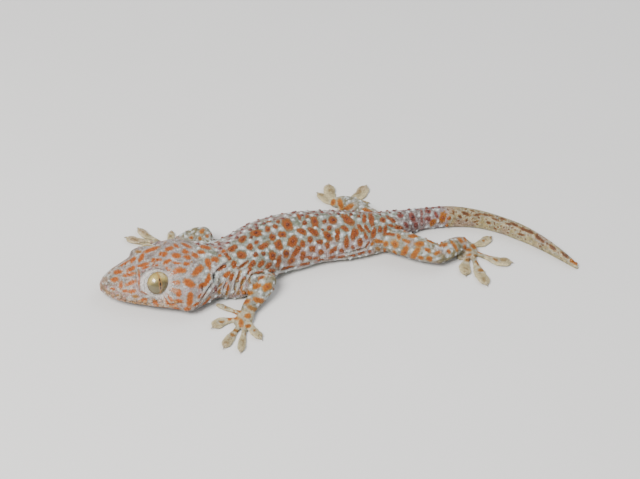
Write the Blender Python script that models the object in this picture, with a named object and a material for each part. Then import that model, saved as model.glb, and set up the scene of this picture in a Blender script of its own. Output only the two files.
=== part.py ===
"""A life-size tokay gecko, lying still with its head raised a little.

Metres, +Z up. The floor is z = 0, and the origin is on it under the middle of the trunk.
The head points along -X, the tail along +X, and the animal's own left side faces -Y.
Sizes are given in millimetres and turned into metres by MM.
"""

import math

import bmesh
import bpy
import numpy as np
from mathutils import Matrix, Vector

MM = 0.001
GAP = 0.3  # between nodes that touch
BODY_SIDES = 26
LIMB_SIDES = 12
TOE_SIDES = 8
TOE_RINGS = 10
BALL_SIDES = (18, 10)  # round and upright, of the eyes, their sockets and the bulge round them
HOLE_SIDES = (10, 8)
RIM_SIDES = (20, 8)  # round the eye, and round the rim's own section
CURVE_STEP = 0.05  # of one span of a smooth curve, to read its direction
BODY_TURN_STEP = 0.6  # the same for the body, longer so that its cross-sections turn gently

# The head's own axis: u runs back from the tip of the snout, v out to a side, z up.
SNOUT = (-100.4, -4.9)
NAPE = (-55.0, -8.9)

# Stations of the head: u, half width, lowest z, widest z, highest z.
HEAD_STATIONS = (
    (0.1, 1.6, 4.6, 5.8, 7.0),
    (1.1, 3.8, 3.4, 5.8, 8.8),
    (3.5, 6.6, 2.6, 6.0, 11.0),
    (7.0, 9.5, 2.0, 6.0, 12.6),
    (12.0, 12.2, 1.6, 6.0, 15.2),
    (18.0, 15.0, 1.3, 6.1, 18.0),
    (24.0, 17.6, 1.0, 6.2, 20.2),
    (30.0, 19.8, 0.7, 6.1, 21.2),
    (35.0, 22.1, 0.4, 5.7, 21.5),
    (39.5, 20.8, 0.3, 5.9, 21.2),
    (44.0, 17.8, 0.2, 6.3, 20.5),
)

# Stations of the trunk and tail: x, y, half width, lowest z, widest z, highest z.
TRUNK_STATIONS = (
    (-51.4, -8.6, 14.9, 0.2, 6.6, 19.8),
    (-46.0, -8.0, 14.8, 0.1, 6.4, 19.0),
    (-38.0, -6.8, 18.4, -0.3, 6.4, 18.8),
    (-28.0, -3.0, 15.8, -0.3, 6.9, 19.0),
    (-18.0, 0.2, 15.2, -0.3, 7.0, 19.4),
    (-8.0, 1.3, 15.2, -0.3, 7.0, 19.8),
    (2.0, 1.6, 14.3, -0.3, 7.0, 19.5),
    (12.0, 0.7, 13.4, -0.3, 6.9, 18.8),
    (22.0, -0.7, 12.7, -0.3, 6.7, 18.0),
    (31.0, -1.6, 11.2, -0.3, 6.4, 17.0),
    (39.0, -1.0, 9.8, -0.3, 6.0, 15.6),
    (46.0, 1.3, 8.2, -0.3, 5.4, 13.8),
    (53.0, 3.3, 6.0, -0.2, 4.8, 12.0),
    (60.0, 4.5, 4.8, -0.2, 4.6, 10.9),
    (67.0, 4.3, 4.6, -0.2, 4.5, 10.3),
    (75.0, 3.7, 4.7, -0.2, 4.4, 10.2),
    (84.0, 1.5, 4.3, -0.2, 4.2, 9.5),
    (92.0, -2.0, 3.9, -0.2, 3.9, 8.7),
    (99.5, -7.4, 3.8, -0.2, 3.6, 8.0),
    (106.0, -13.7, 3.8, -0.2, 3.3, 7.4),
    (111.6, -20.8, 3.4, -0.2, 2.9, 6.6),
    (116.2, -28.3, 2.8, -0.2, 2.4, 5.5),
    (120.0, -35.9, 2.1, -0.2, 1.9, 4.3),
    (123.0, -42.6, 1.3, -0.1, 1.3, 2.8),
    (124.2, -45.4, 0.5, 0.0, 0.6, 1.2),
)

# Where the body is parted, as x along its own length.
TORSO_FROM_X, TAIL_FROM_X = -44.0, 52.0
REGROWN_FROM_X, TAIL_TIP_FROM_X = 76.0, 104.0
BODY_STEP = 3.2

# The superellipse powers of a cross-section, above and below its widest level.
HEAD_POWERS = (1.75, 2.3)
TRUNK_POWERS = (2.0, 2.8)
BLEND_SPANS = 3.0  # the spans between stations over which one pair turns into the other

EYE = {"u": 22.6, "v": 8.6, "z": 12.9, "radius": 5.6, "rise": 24.0, "forward": 14.0, "open": 60.0}
EYE_RIM = 0.9
EYE_RIM_RAISED = 0.55  # the middle of the rim above the eyeball
SOCKET_FLARE = 1.5
ORBIT = (7.7, 6.9, 6.7)  # the bulge round each eye: along the head, across and upright
MOUTH = ((-3.0, 4.6), (4.0, 4.5), (12.0, 4.6), (20.0, 5.2), (27.0, 6.2), (32.5, 7.6))
JAW_BACK = ((34.6, 5.6), (36.0, 2.4), (36.5, -4.0))
JAW_CUTTER_HALF_WIDTH = 30.0
NOSTRIL = {"u": 3.6, "v": 3.1, "z": 9.4, "radius": 0.75}
EAR = {"u": 42.2, "v": 16.6, "z": 12.2, "size": (0.9, 2.0, 2.8)}

# Limbs: stations are x, y, z and the limb's half thickness there, across and upright.
LIMBS = {
    "foreleg_left": {
        "parts": ("upper_arm_left", "forearm_left"),
        "upper": (
            (-40.0, -12.0, 8.2, 5.2, 5.0),
            (-35.4, -18.0, 8.2, 5.0, 4.8),
            (-28.4, -22.2, 7.3, 4.7, 4.5),
        ),
        "lower": (
            (-28.6, -23.0, 7.0, 4.4, 4.2),
            (-32.2, -26.5, 5.8, 4.3, 4.0),
            (-37.2, -30.1, 4.3, 4.0, 3.4),
            (-41.8, -34.6, 2.9, 3.2, 2.4),
        ),
    },
    "foreleg_right": {
        "parts": ("upper_arm_right", "forearm_right"),
        "upper": (
            (-46.6, 1.0, 8.0, 5.0, 4.8),
            (-46.2, 8.0, 8.2, 4.9, 4.7),
            (-45.2, 15.0, 8.0, 4.6, 4.4),
        ),
        "lower": (
            (-45.6, 15.8, 7.7, 4.3, 4.1),
            (-48.4, 17.6, 6.3, 4.3, 4.0),
            (-53.4, 18.0, 4.6, 3.8, 3.4),
            (-58.0, 17.6, 2.9, 3.0, 2.4),
        ),
    },
    "hind_leg_left": {
        "parts": ("thigh_left", "shin_left"),
        "upper": (
            (36.0, -6.0, 7.4, 6.2, 5.8),
            (44.4, -12.8, 7.2, 6.5, 5.6),
            (51.8, -19.0, 6.6, 6.3, 5.2),
            (58.4, -23.6, 5.9, 5.1, 4.4),
        ),
        "lower": (
            (59.4, -23.8, 5.6, 4.5, 4.1),
            (64.6, -21.8, 6.0, 4.8, 4.3),
            (69.8, -19.7, 5.7, 4.5, 4.0),
            (75.0, -18.6, 4.8, 3.9, 3.5),
        ),
    },
    "hind_leg_right": {
        "parts": ("thigh_right", "shin_right"),
        "upper": (
            (45.0, -2.0, 6.4, 5.6, 5.2),
            (41.0, 4.6, 6.3, 5.4, 5.0),
            (37.6, 11.4, 6.0, 4.9, 4.6),
        ),
        "lower": (
            (37.0, 12.8, 5.9, 4.6, 4.3),
            (36.2, 18.2, 5.5, 4.5, 4.2),
            (34.6, 23.2, 4.7, 4.2, 3.8),
            (32.6, 28.0, 3.6, 3.7, 3.0),
        ),
    },
}
LIMB_RINGS = 7
CAP_ANGLES = (30.0, 58.0, 80.0)

# Each foot: its palm's stations, and its toes from the inmost, as root, pad, tip and pad half width.
FEET = {
    "hand_left": {
        "palm": (
            (-40.8, -34.2, 2.9, 3.0, 2.3),
            (-43.8, -37.4, 2.3, 3.8, 2.0),
            (-46.4, -40.2, 1.6, 3.9, 1.6),
        ),
        "toes": (
            ((-44.0, -34.0), (-48.8, -28.4), (-52.6, -24.7), 1.6),
            ((-45.8, -37.2), (-54.2, -35.9), (-59.2, -38.5), 3.0),
            ((-46.2, -39.6), (-54.7, -47.3), (-58.9, -52.0), 2.45),
            ((-45.2, -41.5), (-50.0, -50.6), (-53.0, -56.6), 2.0),
            ((-42.8, -38.8), (-42.6, -45.6), (-41.5, -51.2), 2.4),
        ),
    },
    "hand_right": {
        "palm": (
            (-57.2, 17.6, 2.9, 3.0, 2.3),
            (-60.8, 17.8, 2.3, 3.8, 2.0),
            (-64.0, 18.8, 1.6, 3.9, 1.6),
        ),
        "toes": (
            ((-61.4, 15.6), (-66.2, 13.0), (-69.8, 10.4), 1.6),
            ((-63.6, 17.6), (-71.4, 18.4), (-76.4, 17.0), 2.8),
            ((-64.0, 19.2), (-72.8, 26.8), (-77.2, 30.8), 2.7),
            ((-63.2, 20.4), (-67.6, 29.4), (-69.8, 35.9), 2.3),
            ((-60.2, 19.8), (-57.2, 25.6), (-55.4, 30.0), 1.9),
        ),
    },
    "foot_left": {
        "palm": (
            (74.0, -18.8, 4.8, 3.8, 3.4),
            (76.6, -20.2, 3.2, 4.2, 2.6),
            (78.2, -22.0, 2.0, 4.2, 1.8),
        ),
        "toes": (
            ((75.4, -21.4), (72.2, -22.8), (70.0, -23.6), 1.9),
            ((76.0, -22.8), (70.2, -30.2), (67.9, -35.7), 3.0),
            ((77.4, -24.0), (75.2, -36.3), (74.4, -44.8), 3.2),
            ((80.2, -22.8), (88.2, -30.5), (93.8, -33.2), 3.4),
            ((79.0, -17.2), (87.0, -15.8), (93.2, -13.0), 2.7),
        ),
    },
    "foot_right": {
        "palm": (
            (32.8, 27.6, 3.6, 3.7, 2.9),
            (30.9, 29.6, 2.8, 4.2, 2.4),
            (29.8, 31.0, 2.0, 4.2, 1.8),
        ),
        "toes": (
            ((31.0, 26.4), (26.6, 23.8), (23.4, 21.6), 1.9),
            ((29.6, 28.4), (26.4, 34.4), (24.0, 40.6), 2.6),
            ((30.6, 31.0), (29.8, 38.6), (32.2, 46.0), 3.2),
            ((33.0, 31.0), (43.6, 34.0), (50.4, 40.4), 3.2),
            ((33.6, 29.8), (40.2, 28.6), (45.4, 27.2), 1.9),
        ),
    },
}

# A toe's shape: the place from root (0) over pad (1) to tip (2), the half width as a share of
# the root's, pad's or tip's own, the height of its middle, and its half thickness.
TOE_ROOT_HALF_WIDTH = 1.35
TOE_TIP_HALF_WIDTH = 1.0
TOE_SHAPE = (
    (0.0, "root", 1.0, 1.1, 1.35),
    (0.35, "root", 0.92, 1.0, 1.25),
    (0.6, "pad", 0.6, 0.85, 1.05),
    (0.85, "pad", 0.94, 0.75, 0.95),
    (1.1, "pad", 1.0, 0.7, 0.9),
    (1.35, "pad", 0.92, 0.7, 0.88),
    (1.58, "pad", 0.6, 0.8, 0.88),
    (1.75, "tip", 1.05, 0.95, 0.95),
    (2.0, "tip", 0.85, 0.95, 0.8),
)
CLAW_LENGTH = 1.5
CLAW_RADIUS = 0.5
CLAW_TIP_RADIUS = 0.08
CLAW_SINK = 0.8
CLAW_HEIGHT = 1.15
CLAW_DROP = 0.35  # how far it points down, for each unit forward
CLAW_SIDES = 5
FLOOR_BLOCK = (400.0, 300.0, 20.0)

# Rows of raised tubercles down the back: their angles from the spine, in degrees.
TUBERCLE_ROWS = (9.0, 33.0, 57.0)
TUBERCLE_SPACING = 7.6
TUBERCLE_RADIUS = 1.8
TUBERCLE_TIP_SHARE = 0.2
TUBERCLE_HEIGHT = 0.9
TUBERCLE_SIDES = 4
TUBERCLE_JITTER = {"along": 0.7, "around": 3.0, "size": (0.8, 1.15)}
TUBERCLE_LEAN = 0.35  # back towards the tail
TUBERCLE_MARGIN = 2.0  # free of them before the end of a node
TUBERCLE_CLEAR = 4.0  # between a limb's surface and the root of a tubercle
TUBERCLE_FULL_SIZE_AT = 9.0  # the body's half width above which they are full size
SEED = 7

COLOURS = {
    "skin": ((0.62, 0.64, 0.68), 0.5),
    "toe_skin": ((0.66, 0.61, 0.50), 0.5),
    "tail_skin": ((0.64, 0.56, 0.42), 0.5),
    "eye": ((0.42, 0.38, 0.17), 0.12),
}


def clear_scene():
    for obj in list(bpy.data.objects):
        bpy.data.objects.remove(obj)


def material(name):
    made = bpy.data.materials.get(name)
    if made is None:
        colour, roughness = COLOURS[name]
        made = bpy.data.materials.new(name)
        made.use_nodes = True
        shader = made.node_tree.nodes["Principled BSDF"]
        shader.inputs["Base Color"].default_value = (*colour, 1.0)
        shader.inputs["Roughness"].default_value = roughness
        shader.inputs["Metallic"].default_value = 0.0
    return made


def collection(name):
    made = bpy.data.collections.get(name)
    if made is None:
        made = bpy.data.collections.new(name)
        bpy.context.scene.collection.children.link(made)
    return made


def add_object(name, bm, skin=None, into="tokay_gecko"):
    """An object from a bmesh in millimetres, closed and facing out."""
    bmesh.ops.recalc_face_normals(bm, faces=bm.faces)
    bmesh.ops.transform(bm, matrix=Matrix.Scale(MM, 4), verts=bm.verts)
    mesh = bpy.data.meshes.new(name)
    bm.to_mesh(mesh)
    bm.free()
    obj = bpy.data.objects.new(name, mesh)
    if skin:
        mesh.materials.append(material(skin))
        mesh.shade_smooth()
    collection(into).objects.link(obj)
    return obj


def smooth_curve(points):
    """A function of the point's number, from 0 to the last, that passes through every point."""
    table = np.array(points, float)
    padded = np.vstack([2 * table[0] - table[1], table, 2 * table[-1] - table[-2]])

    def at(t):
        t = min(max(t, 0.0), len(table) - 1.0)
        i = min(int(t), len(table) - 2)
        f = t - i
        a, b, c, d = padded[i : i + 4]
        return 0.5 * (
            2 * b + (c - a) * f + (2 * a - 5 * b + 4 * c - d) * f * f
            + (3 * b - a - 3 * c + d) * f * f * f
        )

    return at


def head_point(u, v, z):
    """A point of the head's own frame in the body's frame. v is positive on the left."""
    start, end = Vector(SNOUT), Vector(NAPE)
    along = (end - start).normalized()
    left = Vector((along.y, -along.x))
    flat = start + along * u + left * v
    return Vector((flat.x, flat.y, z))


def head_matrix():
    """Turns points (u, -v, z) of the head's own frame into the body's frame."""
    start, end = Vector(SNOUT), Vector(NAPE)
    turn = math.atan2(end.y - start.y, end.x - start.x)
    return Matrix.Translation((start.x, start.y, 0.0)) @ Matrix.Rotation(turn, 4, "Z")


def body_stations():
    rows = []
    for u, half_width, low, widest, high in HEAD_STATIONS:
        p = head_point(u, 0.0, 0.0)
        rows.append((p.x, p.y, half_width, low, widest, high))
    return rows + list(TRUNK_STATIONS)


STATIONS = body_stations()
BODY = smooth_curve(STATIONS)


def station_at_x(x):
    """The body curve's parameter where its centreline reaches x."""
    low, high = 0.0, len(STATIONS) - 1.0
    for _ in range(50):
        middle = (low + high) / 2
        if BODY(middle)[0] < x:
            low = middle
        else:
            high = middle
    return low


def body_heading(t):
    ahead, behind = BODY(t + BODY_TURN_STEP), BODY(t - BODY_TURN_STEP)
    return math.atan2(ahead[1] - behind[1], ahead[0] - behind[0])


def powers(t):
    """The cross-section's powers, which change from the head's to the trunk's over the neck."""
    start = len(HEAD_STATIONS) - 2.0
    share = min(max((t - start) / BLEND_SPANS, 0.0), 1.0)
    return [a + (b - a) * share for a, b in zip(HEAD_POWERS, TRUNK_POWERS)]


def section_point(t, angle, raised=0.0):
    """A point on the body's skin. The angle is 0 on the left, 90 on the back, in degrees."""
    x, y, half_width, low, widest, high = BODY(t)
    upper, lower = powers(t)
    c, s = math.cos(math.radians(angle)), math.sin(math.radians(angle))
    power = 2.0 / (upper if s >= 0 else lower)
    out = math.copysign(abs(c) ** power, c) * (half_width + raised)
    tall = (high - widest if s >= 0 else widest - low) + raised
    up = math.copysign(abs(s) ** power, s) * tall
    turn = body_heading(t)
    z = max(widest + up, 0.0)
    return Vector((x + out * math.sin(turn), y - out * math.cos(turn), z))


def ring_mesh(rings):
    """A closed mesh through rings of as many points each, with flat ends."""
    bm = bmesh.new()
    made = [[bm.verts.new(p) for p in ring] for ring in rings]
    count = len(rings[0])
    for first, second in zip(made, made[1:]):
        for i in range(count):
            j = (i + 1) % count
            bm.faces.new((first[i], first[j], second[j], second[i]))
    bm.faces.new(made[0])
    bm.faces.new(reversed(made[-1]))
    return bm


def body_ring(t, raised, shift=0.0):
    """A whole cross-section of the body, moved along its length by a shift."""
    turn = body_heading(t)
    move = Vector((math.cos(turn), math.sin(turn), 0.0)) * shift
    return [section_point(t, 360.0 * k / BODY_SIDES, raised) + move for k in range(BODY_SIDES)]


def body_length(name, skin, start, end, into="tokay_gecko", raised=0.0, gaps=(GAP / 2, GAP / 2)):
    """One length of the head, trunk or tail between two parameters, short of each by a gap."""
    points = [Vector(BODY(start + (end - start) * i / 40)[:2]) for i in range(41)]
    length = sum((b - a).length for a, b in zip(points, points[1:]))
    count = max(3, round(length / BODY_STEP))
    rings = [body_ring(start, raised, gaps[0])]
    rings += [body_ring(start + (end - start) * i / count, raised) for i in range(1, count)]
    rings.append(body_ring(end, raised, -gaps[1]))
    return add_object(name, ring_mesh(rings), skin, into)


def tube_rings(line, start, end, count, sides, raised=0.0):
    """Rings round a smooth line whose points are x, y, z and half thickness across and upright."""
    curve = smooth_curve(line)
    rings = []
    for i in range(count + 1):
        t = start + (end - start) * i / count
        x, y, z, across, upright = curve(t)
        step = curve(t + CURVE_STEP)[:3] - curve(t - CURVE_STEP)[:3]
        along = Vector(step).normalized()
        side = along.cross(Vector((0.0, 0.0, 1.0))).normalized()
        up = side.cross(along)
        ring = []
        for k in range(sides):
            angle = 2 * math.pi * k / sides
            out = side * math.cos(angle) * (across + raised)
            tall = up * math.sin(angle) * (upright + raised)
            ring.append(Vector((x, y, z)) + out + tall)
        rings.append(ring)
    return rings


def boolean(target, operation, cutters, solver="EXACT"):
    """Applies one Boolean of a collection of closed meshes to the target, then removes them."""
    group = bpy.data.collections.new("operands")
    bpy.context.scene.collection.children.link(group)
    for cutter in cutters:
        for holder in list(cutter.users_collection):
            holder.objects.unlink(cutter)
        group.objects.link(cutter)
    modifier = target.modifiers.new("join", "BOOLEAN")
    modifier.operation = operation
    modifier.operand_type = "COLLECTION"
    modifier.collection = group
    modifier.solver = solver
    graph = bpy.context.evaluated_depsgraph_get()
    mesh = bpy.data.meshes.new_from_object(target.evaluated_get(graph))
    target.modifiers.clear()
    old = target.data
    target.data = mesh
    bpy.data.meshes.remove(old)
    for cutter in cutters:
        bpy.data.objects.remove(cutter)
    bpy.data.collections.remove(group)
    keep_largest(target)
    mesh.shade_smooth()
    return target


def box_volume(verts):
    corners = np.array([vert.co for vert in verts])
    return float(np.prod(corners.max(0) - corners.min(0)))


def keep_largest(obj):
    """Leaves only the closed surface that fills the largest box, so no scrap floats by it."""
    bm = bmesh.new()
    bm.from_mesh(obj.data)
    bmesh.ops.remove_doubles(bm, verts=bm.verts, dist=1e-6)
    seen, groups = set(), []
    for start in bm.verts:
        if start in seen:
            continue
        group, waiting = {start}, [start]
        while waiting:
            for edge in waiting.pop().link_edges:
                for vert in edge.verts:
                    if vert not in group:
                        group.add(vert)
                        waiting.append(vert)
        seen |= group
        groups.append(group)
    largest = max(groups, key=box_volume)
    scraps = [vert for vert in bm.verts if vert not in largest]
    bmesh.ops.delete(bm, geom=scraps, context="VERTS")
    bm.to_mesh(obj.data)
    bm.free()


def primitive(name, make, matrix, into="cutters"):
    """A primitive made by make(bm), placed by a matrix in millimetres."""
    bm = bmesh.new()
    make(bm)
    bmesh.ops.transform(bm, matrix=matrix, verts=bm.verts)
    return add_object(name, bm, None, into)


def ball(name, centre, size, sides):
    scale = Matrix.Diagonal((*size, 1.0))

    def make(bm):
        bmesh.ops.create_uvsphere(bm, u_segments=sides[0], v_segments=sides[1], radius=1.0)

    return primitive(name, make, Matrix.Translation(centre) @ scale)


def eye_frame(side):
    """The eye's centre and the way it looks, as a matrix whose Z is its axis."""
    forward, rise = math.radians(EYE["forward"]), math.radians(EYE["rise"])
    ahead = -math.sin(forward) * math.cos(rise)
    out = side * math.cos(forward) * math.cos(rise)
    origin = head_point(0.0, 0.0, 0.0)
    axis = head_point(ahead, out, math.sin(rise)) - origin
    centre = head_point(EYE["u"], side * EYE["v"], EYE["z"])
    return Matrix.Translation(centre) @ axis.to_track_quat("Z", "Y").to_matrix().to_4x4()


def make_eye(name, side):
    """An eyeball, turned so that one pole is the middle of the pupil."""
    def make(bm):
        round_about, upright = BALL_SIDES
        bmesh.ops.create_uvsphere(bm, u_segments=round_about, v_segments=upright, radius=EYE["radius"])

    obj = primitive(name, make, eye_frame(side), "tokay_gecko")
    obj.data.materials.append(material("eye"))
    obj.data.shade_smooth()
    return obj


def orbit(side):
    """The bulge of the brow and cheek that the eye sits in."""
    return ball("orbit", head_point(EYE["u"], side * EYE["v"], EYE["z"]), ORBIT, BALL_SIDES)


def eye_socket(side):
    """The hollow that holds an eye, open to the outside."""
    radius = EYE["radius"] + GAP
    opening = radius * math.sin(math.radians(EYE["open"]))
    depth = 2.0 * EYE["radius"]
    round_about, upright = BALL_SIDES

    def hollow(bm):
        bmesh.ops.create_uvsphere(bm, u_segments=round_about, v_segments=upright, radius=radius)

    def mouth(bm):
        bmesh.ops.create_cone(
            bm, cap_ends=True, segments=round_about, radius1=opening,
            radius2=opening * SOCKET_FLARE, depth=depth,
            matrix=Matrix.Translation((0.0, 0.0, (depth + radius) / 2)),
        )

    frame = eye_frame(side)
    socket = primitive("socket", hollow, frame)
    return boolean(socket, "UNION", [primitive("socket_mouth", mouth, frame)])


def eye_rim(side):
    """The raised ring of scales round the eye, as a turned ring sunk into the head."""
    around = math.radians(EYE["open"])
    radius = EYE["radius"] + EYE_RIM_RAISED
    middle = Vector((radius * math.sin(around), 0.0, radius * math.cos(around)))
    steps, sides = RIM_SIDES
    bm = bmesh.new()
    rings = []
    for i in range(steps):
        turn = Matrix.Rotation(2 * math.pi * i / steps, 3, "Z")
        ring = []
        for k in range(sides):
            angle = 2 * math.pi * k / sides
            point = middle + Vector((math.cos(angle), 0.0, math.sin(angle))) * EYE_RIM
            ring.append(bm.verts.new(turn @ point))
        rings.append(ring)
    for i in range(steps):
        first, second = rings[i], rings[(i + 1) % steps]
        for k in range(sides):
            m = (k + 1) % sides
            bm.faces.new((first[k], second[k], second[m], first[m]))
    bmesh.ops.transform(bm, matrix=eye_frame(side), verts=bm.verts)
    return add_object("eye_rim", bm, None, "cutters")


def jaw_profile(gap):
    """The side outline of the lower jaw in the head's own frame, set back by a gap."""
    line = [(u, z - gap) for u, z in MOUTH]
    back = [(u - gap, z) for u, z in JAW_BACK]
    return line + back + [(MOUTH[0][0], JAW_BACK[-1][1])]


def jaw_cutter(gap):
    """A plate with the lower jaw's side outline, wider than the head."""
    bm = bmesh.new()
    near = [bm.verts.new((u, -JAW_CUTTER_HALF_WIDTH, z)) for u, z in jaw_profile(gap)]
    face = bm.faces.new(near)
    made = bmesh.ops.extrude_face_region(bm, geom=[face])
    moved = [v for v in made["geom"] if isinstance(v, bmesh.types.BMVert)]
    bmesh.ops.translate(bm, verts=moved, vec=(0.0, 2 * JAW_CUTTER_HALF_WIDTH, 0.0))
    bmesh.ops.transform(bm, matrix=head_matrix(), verts=bm.verts)
    return add_object("jaw_cutter", bm, None, "cutters")


def make_head():
    end = len(HEAD_STATIONS) - 1.0
    head = body_length("head", "skin", 0.0, end, gaps=(0.0, GAP / 2))
    jaw = body_length("lower_jaw", "skin", 0.0, end, gaps=(0.0, GAP / 2))
    boolean(head, "DIFFERENCE", [jaw_cutter(0.0)])
    boolean(jaw, "INTERSECT", [jaw_cutter(GAP)])
    boolean(head, "UNION", [orbit(1), orbit(-1)])
    boolean(head, "UNION", [eye_rim(1), eye_rim(-1)])
    holes = []
    for side in (1, -1):
        holes.append(eye_socket(side))
        nostril = head_point(NOSTRIL["u"], side * NOSTRIL["v"], NOSTRIL["z"])
        holes.append(ball("nostril", nostril, [NOSTRIL["radius"]] * 3, HOLE_SIDES))
        ear = head_point(EAR["u"], side * EAR["v"], EAR["z"])
        holes.append(ball("ear", ear, EAR["size"], HOLE_SIDES))
    boolean(head, "DIFFERENCE", holes)
    make_eye("eye_left", 1)
    make_eye("eye_right", -1)


def cone(base, along, size):
    """A blunt cone whose root is sunk as deep as it stands proud."""
    radius = TUBERCLE_RADIUS * size

    def make(bm):
        bmesh.ops.create_cone(
            bm, cap_ends=True, segments=TUBERCLE_SIDES, radius1=radius,
            radius2=radius * TUBERCLE_TIP_SHARE, depth=2 * TUBERCLE_HEIGHT * size,
        )

    turn = along.to_track_quat("Z", "Y").to_matrix().to_4x4()
    return primitive("tubercle", make, Matrix.Translation(base) @ turn)


def near_a_limb(point):
    """Whether a tubercle here could touch a limb."""
    for limb in LIMBS.values():
        for x, y, z, across, upright in limb["upper"] + limb["lower"]:
            if (Vector((x, y, z)) - point).length < max(across, upright) + TUBERCLE_CLEAR:
                return True
    return False


def tubercles(start, end, draw):
    """Low cones on the back between two parameters of the body, in rows set like bricks."""
    made = []
    x_start, x_end = BODY(start)[0], BODY(end)[0]
    count = int((x_end - x_start) / TUBERCLE_SPACING)
    along, around = TUBERCLE_JITTER["along"], TUBERCLE_JITTER["around"]
    for row, angle in enumerate(TUBERCLE_ROWS):
        shift = 0.5 if row % 2 == 0 else 0.8
        for side in (1, -1):
            for i in range(count):
                x = x_start + (i + shift) * TUBERCLE_SPACING + draw.uniform(-along, along)
                if x > x_end - TUBERCLE_MARGIN:
                    continue
                t = station_at_x(x)
                place = 90.0 + side * (angle + draw.uniform(-around, around))
                base = section_point(t, place)
                if near_a_limb(base):
                    continue
                out = section_point(t, place, 1.0) - base
                lean = (out.normalized() + Vector((TUBERCLE_LEAN, 0.0, 0.0))).normalized()
                grown = min(1.0, BODY(t)[2] / TUBERCLE_FULL_SIZE_AT)
                made.append(cone(base, lean, draw.uniform(*TUBERCLE_JITTER["size"]) * grown))
    return made


def body_lengths():
    """The lengths behind the head: name, material, first and last parameter, tubercles or not."""
    neck = len(HEAD_STATIONS) - 1.0
    torso, tail = station_at_x(TORSO_FROM_X), station_at_x(TAIL_FROM_X)
    regrown, tip = station_at_x(REGROWN_FROM_X), station_at_x(TAIL_TIP_FROM_X)
    return (
        ("neck", "skin", neck, torso, True),
        ("torso", "skin", torso, tail, True),
        ("tail_root", "skin", tail, regrown, True),
        ("tail_regrown", "tail_skin", regrown, tip, False),
        ("tail_tip", "tail_skin", tip, len(STATIONS) - 1.0, False),
    )


def make_body():
    draw = np.random.default_rng(SEED)
    for name, skin, start, end, rough in body_lengths():
        obj = body_length(name, skin, start, end)
        if rough:
            boolean(obj, "UNION", tubercles(start, end, draw), "MANIFOLD")


def trunk_cutters():
    """Copies of the lengths that limbs grow from, swollen and lengthened by the gap."""
    return [
        body_length("trunk_cutter", None, start, end, "cutters", GAP, (-GAP, -GAP))
        for _, _, start, end, rough in body_lengths()
        if rough
    ]


def cap_rings(ring, before):
    """Rings that close a tube's end in a dome, from its last ring and the one before."""
    middle = sum(ring, Vector()) / len(ring)
    along = (middle - sum(before, Vector()) / len(before)).normalized()
    radius = sum((p - middle).length for p in ring) / len(ring)
    rings = []
    for angle in CAP_ANGLES:
        turn = math.radians(angle)
        centre = middle + along * radius * math.sin(turn)
        rings.append([centre + (p - middle) * math.cos(turn) for p in ring])
    return rings


def limb_mesh(line, dome_start, dome_end, raised=0.0):
    """A closed length of limb along a line of stations, with a dome at either end."""
    rings = tube_rings(line, 0.0, len(line) - 1.0, LIMB_RINGS, LIMB_SIDES, raised)
    if dome_end:
        rings += cap_rings(rings[-1], rings[-2])
    if dome_start:
        rings = cap_rings(rings[0], rings[1])[::-1] + rings
    return ring_mesh(rings)


def make_limb(limb):
    upper, lower = limb["parts"]
    top = add_object(upper, limb_mesh(limb["upper"], False, True), "skin")
    boolean(top, "DIFFERENCE", trunk_cutters(), "MANIFOLD")
    top_copy = add_object("upper_cutter", limb_mesh(limb["upper"], False, True, GAP), None, "cutters")
    end = add_object(lower, limb_mesh(limb["lower"], True, False), "skin")
    boolean(end, "DIFFERENCE", trunk_cutters() + [top_copy], "MANIFOLD")


def make_claw(end, away):
    """A short pointed claw out of the tip of a toe."""
    def make(bm):
        bmesh.ops.create_cone(
            bm, cap_ends=True, segments=CLAW_SIDES, radius1=CLAW_RADIUS, radius2=CLAW_TIP_RADIUS,
            depth=CLAW_LENGTH,
            matrix=Matrix.Translation((0.0, 0.0, CLAW_LENGTH / 2 - CLAW_SINK)),
        )

    along = Vector((away.x, away.y, -CLAW_DROP)).normalized()
    turn = along.to_track_quat("Z", "Y").to_matrix().to_4x4()
    return primitive("claw", make, Matrix.Translation((end.x, end.y, CLAW_HEIGHT)) @ turn)


def toe_parts(root, middle, tip, pad):
    """A toe, broad at its pad and narrow at its end, and its claw."""
    bend = smooth_curve((root, middle, tip))
    half_widths = {"root": TOE_ROOT_HALF_WIDTH, "pad": pad, "tip": TOE_TIP_HALF_WIDTH}
    line = []
    for along, part, share, height, thick in TOE_SHAPE:
        line.append((*bend(along), height, half_widths[part] * share, thick))
    rings = tube_rings(line, 0.0, len(line) - 1.0, TOE_RINGS, TOE_SIDES)
    toe = add_object("toe", ring_mesh(rings), None, "cutters")
    last = TOE_SHAPE[-1][0]
    end = Vector(bend(last))
    away = (end - Vector(bend(last - CURVE_STEP))).normalized()
    return [toe, make_claw(end, away)]


def floor_cutter():
    """A block under the floor, wider than the whole animal."""
    def make(bm):
        bmesh.ops.create_cube(bm, size=1.0)

    size = Matrix.Diagonal((*FLOOR_BLOCK, 1.0))
    return primitive("floor_cutter", make, Matrix.Translation((0.0, 0.0, -FLOOR_BLOCK[2] / 2)) @ size)


def make_foot(name, foot, shin_line):
    palm = add_object(name, limb_mesh(foot["palm"], False, True), "toe_skin")
    pieces = [piece for toe in foot["toes"] for piece in toe_parts(*toe)]
    boolean(palm, "UNION", pieces, "MANIFOLD")
    boolean(palm, "DIFFERENCE", [floor_cutter()], "MANIFOLD")
    shin = add_object("shin_cutter", limb_mesh(shin_line, False, False, GAP), None, "cutters")
    boolean(palm, "DIFFERENCE", [shin], "MANIFOLD")


def main():
    clear_scene()
    make_head()
    make_body()
    for limb in LIMBS.values():
        make_limb(limb)
    for (name, foot), limb in zip(FEET.items(), LIMBS.values()):
        make_foot(name, foot, limb["lower"])
    bpy.data.collections.remove(collection("cutters"))


main()
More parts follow.
